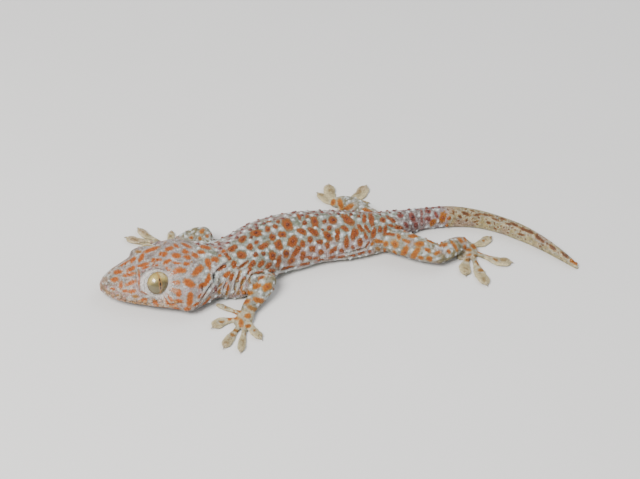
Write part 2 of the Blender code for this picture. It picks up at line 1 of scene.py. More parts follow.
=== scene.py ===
"""The looks of a life-size tokay gecko that lies still: its skin, scales, eyes and claws.

Lengths are in millimetres unless a name says otherwise, and MM turns them into metres.
The head points along -X, and the animal's own left side, towards the camera, is -Y.
A pixel is a place in the photograph, 640 wide and 479 high, from its upper left corner.
"""

import math

import bmesh
import bpy
import numpy as np
from mathutils import Matrix, Vector
from mathutils.bvhtree import BVHTree
from mathutils.kdtree import KDTree


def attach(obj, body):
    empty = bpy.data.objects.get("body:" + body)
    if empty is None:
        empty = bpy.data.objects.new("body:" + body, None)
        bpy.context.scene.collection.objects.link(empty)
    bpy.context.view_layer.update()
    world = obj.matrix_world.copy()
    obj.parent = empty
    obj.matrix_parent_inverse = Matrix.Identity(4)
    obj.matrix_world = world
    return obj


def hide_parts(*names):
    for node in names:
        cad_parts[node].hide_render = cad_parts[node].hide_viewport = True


MM = 0.001
SEED = 11

# The camera: the photograph's viewing angle on the animal.
PHOTO_CENTRE = (320.0, 239.5)
FOCAL_PIXELS = 1560.0
SENSOR_WIDTH = 36.0
PHOTO_WIDTH = 640.0
CAMERA_ELEVATION = 38.0
CAMERA_HEADING = 27.868318763343638
CAMERA_ROLL = 8.242081760901138
AIM_PIXEL = (305.0, 245.0)
AIM_POINT = (0.0, 0.0, 5.0)
AIM_DISTANCE = 730.0

# The studio's light, in metres and watts: where it hangs, its width, power and colour.
WORLD_LIGHT = 0.53
LIGHTS = (
    ("key_light", (-0.75, -0.45, 0.95), 0.5, 27.0, (1.0, 0.98, 0.95)),
    ("fill_light", (0.8, 0.35, 0.8), 0.9, 5.0, (0.95, 0.98, 1.0)),
)

# Flesh nodes, by the part of the body that they belong to.
HEAD_NODES = ("head", "lower_jaw")
TRUNK_NODES = ("neck", "torso", "tail_root")
TAIL_NODES = ("tail_regrown", "tail_tip")
LIMB_NODES = (
    "upper_arm_left", "upper_arm_right", "forearm_left", "forearm_right",
    "thigh_left", "thigh_right", "shin_left", "shin_right",
)
FOOT_NODES = ("hand_left", "hand_right", "foot_left", "foot_right")
FLESH = HEAD_NODES + TRUNK_NODES + TAIL_NODES + LIMB_NODES + FOOT_NODES
REGIONS = {
    "trunk": TRUNK_NODES, "head": HEAD_NODES, "tail": TAIL_NODES, "limb": LIMB_NODES, "foot": FOOT_NODES,
}

# The skin's own mesh.
INFLATE = 0.3  # closes the gaps between the nodes
FOOT_INFLATE = 0.12
COAT_DEPTH = 0.16  # the skin lies this far inside the flesh nodes
VOXEL = 0.4
ROUNDS = {"trunk": 90, "head": 34, "tail": 60, "limb": 50, "foot": 5}
SMOOTH_STEP = 0.5
PUSH_BACK = 0.505  # outward after each round, so that the head, legs and feet don't shrink
SHRINKING = 0.12  # of the trunk and tail, which aren't pushed back out
COARSE_VOXEL = 1.3  # of the skin's copy that is unwrapped
LOWEST = 0.02  # above the floor

# The coat: how many random places per square millimetre it starts from, and how far apart
# those that are kept lie by region, and how much more on the belly and less near the eyes.
PLACES_PER_AREA = 17.0
SCALE_GAPS = {"trunk": 0.6, "head": 0.49, "tail": 0.54, "limb": 0.54, "foot": 0.43}
SNOUT_GAP = 0.03
BELLY_GAP = 0.25
EYE_GAP = 0.12
# A scale against its half width, its rings as share out and height, and the spread of its tone.
SCALE = {"length": 1.06, "width": 0.98, "height": 0.55, "sides": 6, "tones": (0.76, 1.26)}
SCALE_RINGS = ((1.0, 0.0), (0.8, 0.7))
TUBERCLE = {
    "gap": 2.3, "radius": 0.82, "spread": (0.75, 1.2), "limb": 0.75, "pale": 0.86,
    "length": 1.08, "width": 0.95, "height": 0.9, "sides": 10, "clear": 0.82, "lowest": 1.5,
}
TUBERCLE_RINGS = ((1.0, 0.0), (0.86, 0.42), (0.52, 0.84))
TUBERCLE_PALE = ((222, 230, 236), 0.35)
TUBERCLE_DARK = 0.8
PLATE_RINGS = ((1.0, 0.0), (0.92, 0.7), (0.7, 0.96))
PLATE_SIDES = 12
PLATE_OWN_COLOUR = 0.45
LIP_PLATES = ((0.95, (1.05, 0.72)), (-0.95, (1.0, 0.66)))
LIP_SPACING = 2.1
SNOUT_PLATES = ((6.6, (1.0, 1.6)), (4.5, (0.9, 1.5)))
NOSTRIL_PLATES = 9
FRINGE = 56

# How much creases are darkened, the ridges beside them lightened, and the skin under the coat dimmed.
CREASE_SHADE = 0.35
RIDGE_LIGHT = 0.45
SKIN_SHADE = 0.8

# The head's own axis: u runs back from the tip of the snout, v out to the left, z up.
SNOUT = (-100.4, -4.9)
NAPE = (-55.0, -8.9)
EYE = {"u": 22.9, "v": 9.0, "z": 12.4, "radius": 5.75, "rise": 31.0, "forward": -6.0, "open": 64.0}
MOUTH = ((-3.0, 5.5), (4.0, 5.3), (12.0, 5.4), (20.0, 6.0), (27.0, 7.0), (32.5, 8.4))
EYE_RING = (6.0, 23.0)  # its width in degrees behind the eye and in front of it
EYE_RING_PALE = (1.5, 21.0)  # and how far of it is pale
EYE_REACH = (4.8, 1.1)  # the skin is shaped this far from the eyeball and, in radians, past the opening
EYE_SNAP = 2.6  # degrees within which points go onto the opening's edge
EYE_RIM = 0.55  # the edge's height over the eyeball
EYE_UNDER = 0.9  # how deep the skin goes below the eyeball's surface inside the opening
EYE_CLEAR = (1.0, 7.5)  # no scales within this many degrees of the opening and this near its middle
NOSTRIL = {"u": 3.0, "v": 2.6, "z": 9.7}
EAR = {"u": 48.2, "v": 12.6, "z": 14.0, "size": (1.0, 3.0, 1.9)}

# The tail's blunt end, as a ball: its place and radius.
TAIL_END = ((121.9, -40.4, 1.5), 1.45)

# The middle of the trunk and tail, seen from above.
SPINE = (
    (-51.4, -8.6), (-46.0, -8.0), (-38.0, -6.8), (-28.0, -3.0), (-18.0, 0.2), (-8.0, 1.3),
    (2.0, 1.6), (12.0, 0.7), (22.0, -0.7), (31.0, -1.6), (39.0, -1.0), (46.0, 1.3), (53.0, 3.3),
    (60.0, 4.5), (67.0, 4.3), (75.0, 3.7), (84.0, 1.5), (92.0, -2.0), (99.5, -7.4),
    (106.0, -13.7), (111.6, -20.8), (116.2, -28.3), (120.0, -35.9), (123.0, -42.6), (124.2, -45.4),
)
REGROWN_FROM_X = 76.0

# Each foot's toes from the inmost, as root, pad and tip seen from above, and the pad's half width.
FEET = {
    "hand_left": (
        ((-44.0, -34.0), (-48.8, -28.4), (-52.6, -24.7), 1.6),
        ((-45.8, -37.2), (-54.2, -35.9), (-59.2, -38.5), 3.0),
        ((-46.2, -39.6), (-54.7, -47.3), (-58.9, -52.0), 2.45),
        ((-45.2, -41.5), (-50.0, -50.6), (-53.0, -56.6), 2.0),
        ((-42.8, -38.8), (-42.6, -45.6), (-41.5, -51.2), 2.4),
    ),
    "hand_right": (
        ((-61.4, 15.6), (-66.2, 13.0), (-69.8, 10.4), 1.6),
        ((-63.6, 17.6), (-71.4, 18.4), (-76.4, 17.0), 2.8),
        ((-64.0, 19.2), (-72.8, 26.8), (-77.2, 30.8), 2.7),
        ((-63.2, 20.4), (-67.6, 29.4), (-69.8, 35.9), 2.3),
        ((-60.2, 19.8), (-57.2, 25.6), (-55.4, 30.0), 1.9),
    ),
    "foot_left": (
        ((75.4, -21.4), (72.2, -22.8), (70.0, -23.6), 1.9),
        ((76.0, -22.8), (70.2, -30.2), (67.9, -35.7), 3.0),
        ((77.4, -24.0), (75.2, -36.3), (74.4, -44.8), 3.2),
        ((80.2, -22.8), (88.2, -30.5), (93.8, -33.2), 3.4),
        ((79.0, -17.2), (87.0, -15.8), (93.2, -13.0), 2.7),
    ),
    "foot_right": (
        ((31.0, 26.4), (26.6, 23.8), (23.4, 21.6), 1.9),
        ((29.6, 28.4), (26.4, 34.4), (24.0, 40.6), 2.6),
        ((30.6, 31.0), (29.8, 38.6), (32.2, 46.0), 3.2),
        ((33.0, 31.0), (43.6, 34.0), (50.4, 40.4), 3.2),
        ((33.6, 29.8), (40.2, 28.6), (45.4, 27.2), 1.9),
    ),
}
# A toe's pad as a flat ball: where it lies from pad to tip, and its size against the toe's.
PAD = {"middle": 0.5, "length": 0.52, "width": 1.0, "height": 1.2, "z": 1.05}
# The way that each leg's scales lie, as points from the body out to the toes.
LEG_LINES = {
    "left_fore": ((-40.0, -12.0), (-28.6, -22.6), (-41.0, -34.6), (-50.0, -44.0)),
    "right_fore": ((-46.5, 1.0), (-45.4, 15.4), (-57.6, 17.6), (-68.0, 24.0)),
    "left_hind": ((36.0, -6.0), (57.0, -23.1), (74.6, -18.7), (78.0, -34.0)),
    "right_hind": ((45.0, -2.0), (37.3, 12.1), (32.7, 27.8), (32.0, 42.0)),
}
LEG_OF_NODE = {
    f"{part}_{side}": f"{side}_{leg}"
    for leg, parts in (("fore", ("upper_arm", "forearm", "hand")), ("hind", ("thigh", "shin", "foot")))
    for part in parts
    for side in ("left", "right")
}

# Where the skin's outline is moved a little, in pixels: the place, how far round it, and the move.
PULLS = (
    (214.0, 238.0, 8.0, 0.0, 4.0), (222.0, 234.5, 9.0, 0.0, 3.4), (231.0, 229.5, 9.0, 0.0, 2.0),
    (226.0, 292.5, 8.0, 0.0, 2.4), (234.0, 293.0, 8.0, 0.0, 3.0), (242.0, 293.0, 7.0, 0.0, 3.0),
    (133.5, 252.5, 6.5, -0.5, -3.2), (144.0, 248.5, 8.0, 0.0, -4.0), (155.0, 246.5, 8.0, 0.0, -3.0),
)

# Creases in the skin, or ridges where the depth is below 0: their depth and half width, whether
# the other side of the body has them too, and the pixels along each.
CREASES = (
    (0.75, 0.55, True, ((228.0, 262.0), (222.0, 267.0), (216.5, 271.5), (213.5, 277.0))),
    (0.7, 0.5, True, ((213.5, 277.0), (211.0, 285.0), (205.5, 293.4), (200.3, 300.8))),
    (0.4, 0.4, True, ((213.9, 276.6), (219.0, 279.5))),
    (0.55, 0.5, True, ((248.5, 260.5), (242.4, 265.8), (238.0, 268.6))),
    (0.6, 0.5, True, ((240.5, 270.5), (236.0, 281.5), (233.5, 293.5))),
    (0.5, 0.45, True, ((244.6, 275.0), (241.5, 284.6), (239.9, 290.0))),
    (0.5, 0.45, True, ((251.0, 269.0), (247.0, 274.5), (245.0, 281.0))),
    (0.5, 0.45, True, ((227.5, 279.0), (224.0, 287.0), (222.5, 293.5))),
    (0.4, 0.4, True, ((220.5, 283.5), (216.5, 289.0), (212.0, 295.0))),
    (0.6, 0.5, True, ((272.5, 275.2), (262.0, 273.4), (252.0, 274.6), (247.5, 281.0))),
    (0.55, 0.5, True, ((369.0, 242.3), (364.9, 248.0), (357.0, 250.0), (348.3, 252.4), (340.0, 254.3))),
    (0.4, 0.4, False, ((412.0, 232.0), (404.0, 231.0), (396.0, 232.5))),
    (0.4, 0.5, False, ((445.5, 245.5), (443.0, 250.0), (441.5, 255.0))),
    (0.3, 0.4, False, ((419.5, 210.5), (419.0, 219.0), (420.5, 227.5))),
    (0.3, 0.4, False, ((425.0, 209.8), (424.2, 218.0), (424.6, 226.5))),
    (0.3, 0.4, False, ((409.0, 212.0), (408.6, 219.0), (409.6, 227.5))),
    (-0.5, 0.6, True, (
        (275.0, 273.4), (283.8, 271.0), (293.8, 268.6), (304.5, 266.0), (318.6, 263.2), (331.0, 260.6),
        (345.0, 258.2), (357.0, 256.6),
    )),
    (-0.35, 0.5, False, ((253.0, 274.8), (262.0, 274.6), (270.0, 276.0))),
    (0.3, 0.35, True, ((136.5, 270.0), (135.8, 279.0), (138.5, 290.0), (146.0, 296.5), (157.0, 299.0))),
    (0.25, 0.35, True, ((141.0, 298.5), (150.0, 301.5), (160.0, 303.0), (168.0, 301.5))),
    (0.3, 0.35, True, ((150.0, 267.5), (160.0, 265.5), (168.0, 267.5), (173.0, 272.0))),
)

# Spots that the photograph shows, in pixels: capsules have two ends and a radius, and round ones
# a middle and a radius.
HEAD_SPOTS = (
    (121.3, 265.3, 127.1, 262.1, 2.0), (115.9, 272.4, 120.8, 271.5, 2.0), (128, 271, 133.4, 267.6, 2.1),
    (124, 275.7, 134.3, 273.8, 1.7), (112.8, 280, 117, 279.3, 2.0), (120.9, 282.7, 120.9, 287.1, 1.9),
    (127.1, 284.5, 134.3, 281.8, 1.9), (111, 288.5, 114.2, 289.1, 1.2), (123.6, 291, 127, 291, 1.4),
    (130.4, 291, 134, 291, 1.9), (131.2, 261.2, 134.3, 258.6, 2.0), (140.1, 259.9, 142.8, 255.4, 2.2),
    (144.6, 252.3, 157.5, 247.4, 1.8), (156.6, 244.7, 165.5, 242.5, 1.6), (167.3, 249.2, 170.9, 248, 2.5),
    (161.2, 254.3, 164.6, 254.3, 2.4), (173.5, 255.6, 178.6, 255.6, 2.3), (174, 244.3, 178, 247.4, 1.5),
    (183.4, 243.8, 189.6, 247, 2.0), (184.3, 251.4, 187, 252.3, 1.9), (186, 257, 189, 257.5, 2.0),
    (193.2, 254.1, 197.2, 256.3, 1.9), (198.6, 251.9, 203.5, 252.8, 1.8), (201.3, 246.5, 209.3, 248.3, 2.0),
    (137.9, 266.2, 148.6, 263.5, 1.6), (143.2, 268.4, 148.6, 266.6, 1.1), (153.5, 260.4, 2.1),
    (157, 260, 160, 259.5, 1.6), (165, 263, 169.6, 260.4, 2.0), (153.5, 265.3, 158, 265.3, 1.4),
    (173.6, 262.6, 179.8, 263.5, 1.1), (184.8, 264, 187.8, 264, 1.8), (166.4, 268, 170.9, 271, 1.5),
    (177.1, 270.6, 184.3, 270.2, 2.7), (194.6, 273.3, 200.8, 268, 3.0), (207.5, 260.8, 208.4, 264.4, 2.6),
    (208.4, 264.4, 209.7, 268.4, 1.5), (208.8, 276.4, 206.6, 282.7, 2.3), (206.6, 282.7, 200.4, 286.7, 2.2),
    (172.7, 283.1, 177.6, 282.7, 2.6), (186.1, 281.8, 191.9, 284.9, 3.2), (178.7, 291.8, 178.7, 294.4, 2.5),
    (190.5, 293.8, 189.2, 304.6, 2.9), (176.7, 300.5, 181.6, 301.4, 1.7), (169.5, 293.4, 2.0),
    (166.4, 297, 171.8, 300, 1.6), (166.4, 303.2, 173.6, 305, 1.6), (198.6, 297.4, 203.9, 293.8, 1.8),
    (194, 305.4, 198.6, 302.8, 1.3), (203.5, 304.6, 208.8, 298.8, 1.8), (186, 309, 188.8, 308.7, 1.9),
    (173.6, 307.7, 178.9, 308.6, 1.1), (153.9, 301, 157.5, 305, 2.0), (142.3, 300.5, 145.4, 300, 1.9),
    (164, 307.2, 167, 307.6, 1.4), (138.8, 271, 139.4, 287.1, 1.3), (141.4, 292, 159.3, 296, 1.2),
    (212.9, 259, 216.4, 259.9, 2.5), (220, 255.9, 1.6), (215, 247.4, 2.0), (223.6, 251.4, 2.0),
    (225.5, 275.9, 228.2, 272.9, 2.3), (230.6, 277.4, 233, 275.3, 1.6), (227.3, 283.2, 227.3, 289.2, 2.0),
)
TAN_SPOTS = (
    (137, 251.7, 140, 251.7, 1.5), (143.2, 246.3, 146.8, 245.7, 1.3), (191.9, 262.1, 0.9),
    (134, 296.5, 137, 296.5, 1.7), (117.8, 295.6, 1.3), (219.4, 289.8, 219.4, 292.3, 1.5),
    (222.4, 283.2, 219, 286.8, 0.9), (240.3, 271.7, 236, 280.2, 1.4), (244, 278.6, 240.9, 284.4, 1.5),
    (249.7, 279, 249.7, 282.5, 1.2), (236, 287.4, 233.3, 295.3, 0.9), (237.9, 291.3, 238, 293.5, 1.4),
    (227, 291, 226.4, 295, 1.2), (248.8, 306.8, 255.5, 309.8, 1.9), (377, 248, 379, 249.7, 1.6),
    (475, 255.5, 476.5, 257.5, 1.4), (466.5, 260.2, 470, 260, 1.6), (476.5, 262.3, 479, 264, 1.7),
    (479.5, 270, 483, 270, 1.6), (494, 259, 497, 260.5, 1.3), (483.5, 240.5, 1.2),
    (245.5, 334.4, 247.3, 335, 1.3), (220.5, 322, 223, 322, 1.3), (254.5, 330.5, 1.2),
    (231.5, 334.5, 234, 335.5, 1.5), (234, 330, 238, 331.4, 1.4), (225.2, 307.4, 1.1),
)
BODY_SPOTS = (
    (219.1, 269.3, 224.5, 266.6, 2.0), (227.1, 255, 229.8, 259.5, 1.6), (232.5, 249.6, 2.5),
    (249.7, 268.5, 249.7, 273.3, 2.3), (257.9, 272.3, 262.7, 270.8, 1.5), (241.4, 240.2, 243.7, 238.3, 2.9),
    (253.3, 233.3, 259, 232.9, 3.2), (251, 237.5, 1.6), (267.8, 228.3, 267.8, 230, 2.3),
    (274.3, 226, 276, 226.8, 2.0), (278.2, 221.8, 1.7), (286.2, 223, 288.5, 226.4, 4.2),
    (307.3, 216.8, 1.8), (297.7, 214.5, 300, 218.5, 1.6), (304.6, 223, 2.1),
    (314.1, 219.5, 315.3, 224.5, 3.4), (324.5, 221.4, 2.0), (332, 220, 333.8, 220.6, 3.4),
    (272.4, 237.3, 3.2), (281.2, 234.6, 283, 234.6, 2.9), (299.6, 230.6, 303.4, 232.5, 2.9),
    (310.3, 229.5, 316.4, 233.7, 2.7), (322.2, 229.8, 1.1), (329.4, 228.3, 2.4),
    (326, 233.7, 329.8, 238.3, 3.0), (337.9, 230.6, 337.5, 239, 2.5), (249.9, 247, 3.0),
    (256.5, 242.2, 1.9), (260.6, 247.4, 266.7, 244.4, 2.7), (263.3, 253.9, 2.0),
    (277.8, 243.6, 278.9, 246.7, 3.5), (293.5, 239, 291.6, 244, 3.9), (302.7, 243, 302.7, 245, 2.4),
    (310.1, 238.8, 310.1, 240.3, 2.6), (318.7, 241.9, 321, 241.9, 2.2), (327.5, 244, 327.5, 247, 2.1),
    (331.4, 252, 336.3, 247.4, 2.0), (239.9, 255, 243, 255, 3.3), (255, 255.1, 255.8, 254.3, 2.2),
    (272.1, 254, 272.7, 257, 3.3), (286.2, 252, 286.2, 255, 2.7), (294.2, 254.7, 298.1, 248.2, 2.5),
    (312.2, 249, 3.1), (320.9, 252.4, 2.5), (234, 263.5, 234, 266, 2.7), (238.4, 268, 247.2, 262, 1.4),
    (251.4, 264.6, 253.3, 262.7, 2.6), (259.4, 265.8, 262.5, 262, 2.1), (266.7, 267.3, 269.8, 264.3, 2.0),
    (279.3, 257, 277.8, 265.8, 2.2), (290, 262, 293.1, 258.5, 2.3), (303.4, 253.6, 302.7, 258.5, 2.4),
    (307, 257.5, 310.5, 257.8, 1.4), (313.8, 258.5, 318, 257.5, 1.2), (330, 257.5, 334.5, 256.8, 1.2),
    (249.5, 268, 249.9, 272.7, 2.3), (256, 272.7, 262.5, 270.8, 1.5), (269.8, 270.8, 273, 270.8, 1.8),
    (283.5, 268.5, 292.3, 266.6, 1.7), (301.5, 264.3, 308, 263.1, 1.3), (319, 260, 323, 259.4, 1.4),
    (259, 279, 263, 276, 1.6), (239.5, 271.9, 237.6, 280.3, 1.5), (232.3, 274.6, 230.7, 279.6, 1.8),
    (244.1, 278, 241.8, 283.4, 1.4), (229.6, 249.7, 235.7, 246.7, 2.3), (226.1, 254.3, 229.6, 258.9, 1.4),
    (267, 222.2, 270, 221.5, 1.2), (344.5, 217.2, 351, 222.2, 3.3), (350.7, 214.5, 1.6),
    (358.7, 216.5, 1.8), (364.4, 216, 364, 222.2, 2.0), (370.6, 215.3, 372.1, 224.5, 2.6),
    (382.4, 220, 383, 220, 2.6), (387.4, 216.8, 390.4, 219.9, 1.2), (391.6, 219.5, 393.9, 221.4, 1.8),
    (342.6, 227.2, 346.8, 229.5, 2.2), (358.7, 226, 362.5, 230.2, 2.0), (354.1, 230.6, 353, 237.5, 2.5),
    (356.4, 231.4, 355.6, 234.4, 2.2), (365.2, 226, 369, 231.4, 1.8), (374.4, 229.8, 372.5, 236.7, 2.2),
    (365.2, 233.7, 366.3, 238.3, 1.6), (380, 228, 380, 231, 1.9), (385.5, 226.8, 384.7, 233.7, 1.8),
    (385, 234, 395, 234.6, 1.5), (389.5, 225.2, 392.5, 225.8, 1.4), (396.2, 227.2, 400.8, 228, 2.1),
    (346.4, 239, 346.4, 245.5, 2.4), (360.2, 240, 360.2, 244, 2.4), (352.6, 247.5, 353.3, 249, 1.6),
    (341.1, 250.1, 342.6, 251, 1.8), (358.3, 249, 360.6, 246, 1.3), (359.5, 253.2, 363.7, 252.4, 1.3),
    (369.4, 251.6, 1.4), (350, 255.5, 353.7, 255, 1.2), (338.8, 257.4, 343.4, 256.6, 1.3),
    (366, 246.7, 368.3, 243, 1.2), (375, 212.6, 379.5, 213, 0.9),
)
ROOT_SPOTS = (
    (398.9, 215.7, 402, 215.7, 1.8), (411.1, 214.5, 413, 219.9, 2.4), (393, 210.7, 394.6, 211.3, 1.6),
    (404, 231, 407, 231.6, 1.3), (405.5, 224, 407, 226.5, 1.6), (415.7, 223.7, 416.1, 226.8, 1.9),
    (421, 211.5, 421.8, 223.7, 1.2), (426.4, 211.1, 429.5, 211.9, 1.8), (426.4, 218.7, 429.5, 219.5, 1.9),
    (435.2, 213, 436.7, 216.5, 1.4),
)
LEG_SPOTS = (
    (431.4, 223.7, 434, 221.4, 2.3), (443.2, 214.5, 441.7, 220.7, 2.8), (449.2, 218.3, 1.9),
    (445.5, 215, 1.5), (447, 225.2, 1.2), (374.4, 240.6, 382.8, 241.7, 1.7), (371.3, 245, 373, 243, 1.3),
    (385.6, 243.8, 2.4), (394.3, 243, 395.4, 245.3, 3.0), (384.7, 249, 385, 252, 1.6),
    (394, 251, 395.4, 254.3, 1.9), (398, 235.5, 399.3, 238, 1.8), (403.8, 239.8, 408.8, 242, 1.5),
    (410.3, 236.3, 415.7, 236, 2.3), (406.1, 248.2, 403, 254.3, 2.6), (417.2, 244, 421.8, 243.6, 2.4),
    (418, 249, 412.6, 257.4, 2.5), (420, 257, 422, 258, 1.8), (426, 249.5, 429, 250.8, 1.9),
    (428.3, 258, 430.6, 259, 2.2), (428.7, 240.6, 432, 242, 1.9), (436, 253.6, 439.5, 252, 1.7),
    (442.5, 245.5, 446, 244.5, 1.8), (448, 251.5, 1.6), (451.7, 242.2, 456.8, 249.4, 1.6),
    (448.2, 250.5, 449, 252.5, 1.7), (459.5, 239.5, 461.5, 241.5, 1.8), (464.5, 237, 465.5, 240, 1.5),
    (464, 246, 465, 248, 1.5), (472.8, 246, 474.6, 247, 2.2), (467, 249.9, 470.5, 249.9, 1.2),
    (480, 251, 481.5, 253, 1.6), (467, 255, 470, 254.6, 1.2), (487, 254, 490.5, 255.5, 1.5),
    (440.5, 246, 443.5, 245, 1.5), (254.5, 286.8, 258.8, 285.6, 2.6), (265.5, 287.7, 268.5, 286.2, 3.2),
    (259.7, 277.7, 263.3, 276.5, 1.8), (248.5, 293.5, 251, 293, 2.4), (243, 291.5, 245, 293.5, 1.4),
    (255.5, 299.5, 261.5, 300.8, 2.6), (244.8, 302.6, 248.8, 300.8, 2.0), (246.8, 315.9, 248.3, 315.9, 2.4),
    (240.9, 321.4, 241.2, 324.7, 2.4), (247.3, 326.2, 248.5, 326.2, 2.0), (233.6, 315.3, 237, 319.2, 1.6),
    (229.1, 318.9, 230.3, 319, 1.6), (239, 311, 240.3, 311.8, 1.4), (234.2, 311, 0.7),
    (333.5, 201.2, 332.8, 203.2, 2.4), (344.5, 209.5, 352, 205.6, 2.1), (339.6, 200.6, 341.4, 207.5, 2.3),
    (364.5, 209.6, 369.5, 211.6, 1.9), (201.6, 231.8, 202.7, 230.6, 1.9), (206.8, 236.3, 208.3, 235.4, 1.6),
    (199.6, 237.8, 200.3, 238.8, 1.3), (191, 237.4, 191.8, 237.9, 1.5), (571.5, 260.4, 576.2, 263.6, 1.7),
)
TAIL_SPOTS = (
    (453, 211, 453.5, 214, 1.1), (459, 215.8, 460.5, 217, 1.3), (462.5, 212.5, 469, 215, 1.6),
    (471, 210.5, 474, 211.5, 0.9), (475, 215.2, 480, 214.2, 1.4), (482, 214.4, 493, 215.9, 1.0),
    (466, 220.8, 467, 219.8, 1.0), (474, 221.8, 478, 221, 0.8), (487.5, 222, 489.5, 223, 1.4),
    (492, 218.3, 499, 221, 0.9), (501, 226, 0.8), (509, 229.5, 0.9), (515, 230, 0.9),
    (519, 234, 524, 235, 1.1), (494.5, 228, 496, 229, 0.8), (506, 223.5, 510, 224.5, 1.1),
    (500, 218.3, 505, 219.8, 1.1), (511.5, 223.4, 517.5, 226, 1.3), (519.5, 227.5, 526.7, 231, 1.4),
    (526.7, 230.5, 532.8, 233, 1.5), (536.5, 236, 540, 239, 1.9), (541, 239.5, 543, 241.5, 1.4),
    (547, 243.5, 547, 244, 1.1), (551, 246, 555, 250, 1.8), (562, 253, 567.5, 257.5, 1.5),
    (540, 246.3, 0.9),
)

# Colours as the screen shows them, 0 to 255: a spot's edge and its middle, and its dark core.
SPOT_COLOURS = {
    "head": ((172, 112, 50), (164, 82, 10)),
    "tan": ((160, 124, 72), (140, 96, 40)),
    "body": ((136, 90, 38), (144, 70, 8)),
    "rust": ((150, 110, 104), (122, 66, 54)),
    "root": ((146, 92, 80), (124, 56, 44)),
    "leg": ((172, 120, 46), (162, 92, 12)),
    "tail": ((136, 92, 46), (100, 58, 24)),
}
SPOT_CORES = {"body": (88, 26, 8), "root": (70, 24, 24), "leg": (140, 58, 12)}
SPOT_GROWTH = 1.1
SPOT_SQUARE = 2.4  # 2 would make ellipses
SPOT_WOBBLE = 0.42
SPOT_LONGEST = 14.0  # when its ends are further apart, they have met two parts of the body
SPOTS = {
    "head": HEAD_SPOTS, "tan": TAN_SPOTS, "body": BODY_SPOTS,
    "root": ROOT_SPOTS, "leg": LEG_SPOTS, "tail": TAIL_SPOTS,
}
# The hidden side's spots: the middle of their spacing and of their radius, and the share of both
# that those on the seen edges have.
HIDDEN_SPOTS = {
    "head": (4.6, 0.95), "body": (4.9, 1.25), "root": (4.6, 0.9), "leg": (4.6, 1.0), "tail": (2.2, 0.34),
}
HIDDEN_TOE_SPOTS = (5.0, 0.6)
EDGE_SPOTS = (0.68, 0.6)
# The pale spots between all of them: spacing and radius.
PALE_SPOTS = {"body": (3.5, 1.1), "root": (3.4, 0.9), "leg": (3.6, 0.85)}

# Ground colours by region, as the screen shows them. The pale blue-white serves both the skin's own pale
# spots and painted highlights, the shade is painted shade, and the pit colour is a painted shadow in the
# nostrils and ears.
GROUND = {
    "head": (138, 120, 112),
    "snout": (150, 126, 106),
    "lips": (158, 118, 70),
    "throat": (164, 150, 136),
    "neck": (126, 128, 106),
    "back": (112, 120, 96),
    "flank": (142, 138, 114),
    "belly": (176, 166, 142),
    "root": (120, 104, 98),
    "tail": (166, 150, 102),
    "tail_below": (180, 166, 124),
    "leg": (128, 118, 84),
    "foot": (164, 150, 112),
    "pad": (132, 106, 60),
    "pad_edge": (206, 192, 150),
    "highlight": (202, 209, 208),
    "shade": (78, 76, 56),
    "pink": (168, 122, 126),
    "eye_ring": (210, 206, 202),
    "pit_shadow": (44, 34, 30),
}
IRIS = {"gold": (176, 156, 84), "olive": (92, 84, 48), "dark": (86, 66, 42), "slit_edge": (150, 104, 48)}
SLIT_BLACK = (0.004, 0.0035, 0.003, 1.0)
SLIT_LENGTH = 0.5  # the slit is half as long as the eye is across
CLAW = {
    "root": (186, 172, 138), "tip": (96, 78, 54), "rings": 7, "sides": 8,
    "from": -1.2, "length": 2.5, "z": 1.35, "radius": 0.52, "bends": (-8.0, 62.0), "drop": 0.78,
}
FLOOR_TONES = ((0.74, 0.735, 0.725, 1.0), (0.79, 0.785, 0.775, 1.0))
FLOOR_HALF_WIDTH = 2.5
SKY_COLOUR = (0.97, 0.975, 1.0, 1.0)


def linear(colour):
    """Linear light from a colour as the screen shows it."""
    value = np.asarray(colour, float) / 255.0
    return np.where(value <= 0.04045, value / 12.92, ((value + 0.055) / 1.055) ** 2.4)


def smoothstep(low, high, value):
    share = np.clip((value - low) / (high - low), 0.0, 1.0)
    return share * share * (3.0 - 2.0 * share)


def bell(value, width):
    """1 where value is 0, and falling to both sides of it."""
    return np.exp(-((value / width) ** 2))


def unit(vectors):
    vectors = np.asarray(vectors, float)
    return vectors / np.maximum(np.linalg.norm(vectors, axis=-1, keepdims=True), 1e-9)


def laid_on(lie, normals):
    """The directions in lie, turned flat onto the surface."""
    return unit(lie - np.sum(lie * normals, axis=1)[:, None] * normals)


def kd_of(points):
    tree = KDTree(len(points))
    for number, point in enumerate(points.tolist()):
        tree.insert(point, number)
    tree.balance()
    return tree


def flat_kd(places):
    """A tree of flat places, each with 0 as its third number."""
    return kd_of(np.pad(places, ((0, 0), (0, 1))))


def surface_of(points, faces):
    return BVHTree.FromPolygons(points.tolist(), faces.tolist())


def link(obj):
    bpy.context.scene.collection.objects.link(obj)
    return obj


def object_of(bm, name, material=None):
    """A linked object from a bmesh, which is used up."""
    mesh = bpy.data.meshes.new(name)
    bm.to_mesh(mesh)
    bm.free()
    if material is not None:
        mesh.materials.append(material)
    return link(bpy.data.objects.new(name, mesh))


def noise(points, size, seed):
    """Smooth noise from 0 to 1, in lumps about size across."""
    scaled = np.asarray(points, float) / size + 1000.0 + 17.3 * seed
    cell = np.floor(scaled).astype(np.int64)
    part = scaled - cell
    part = part * part * (3.0 - 2.0 * part)
    total = np.zeros(len(scaled))
    for corner in range(8):
        step = np.array([(corner >> axis) & 1 for axis in range(3)])
        key = (cell + step) @ np.array([73856093, 19349663, 83492791])
        key = ((key ^ (key >> 13)) * 1274126177) & 0x7FFFFFFF
        key = ((key ^ (key >> 15)) * 69069) & 0x7FFFFFFF
        weight = np.prod(np.where(step == 1, part, 1.0 - part), axis=1)
        total += weight * ((key >> 7) & 0xFFFF) / 65535.0
    return total


# The camera's own axes and the pixels that points fall on.


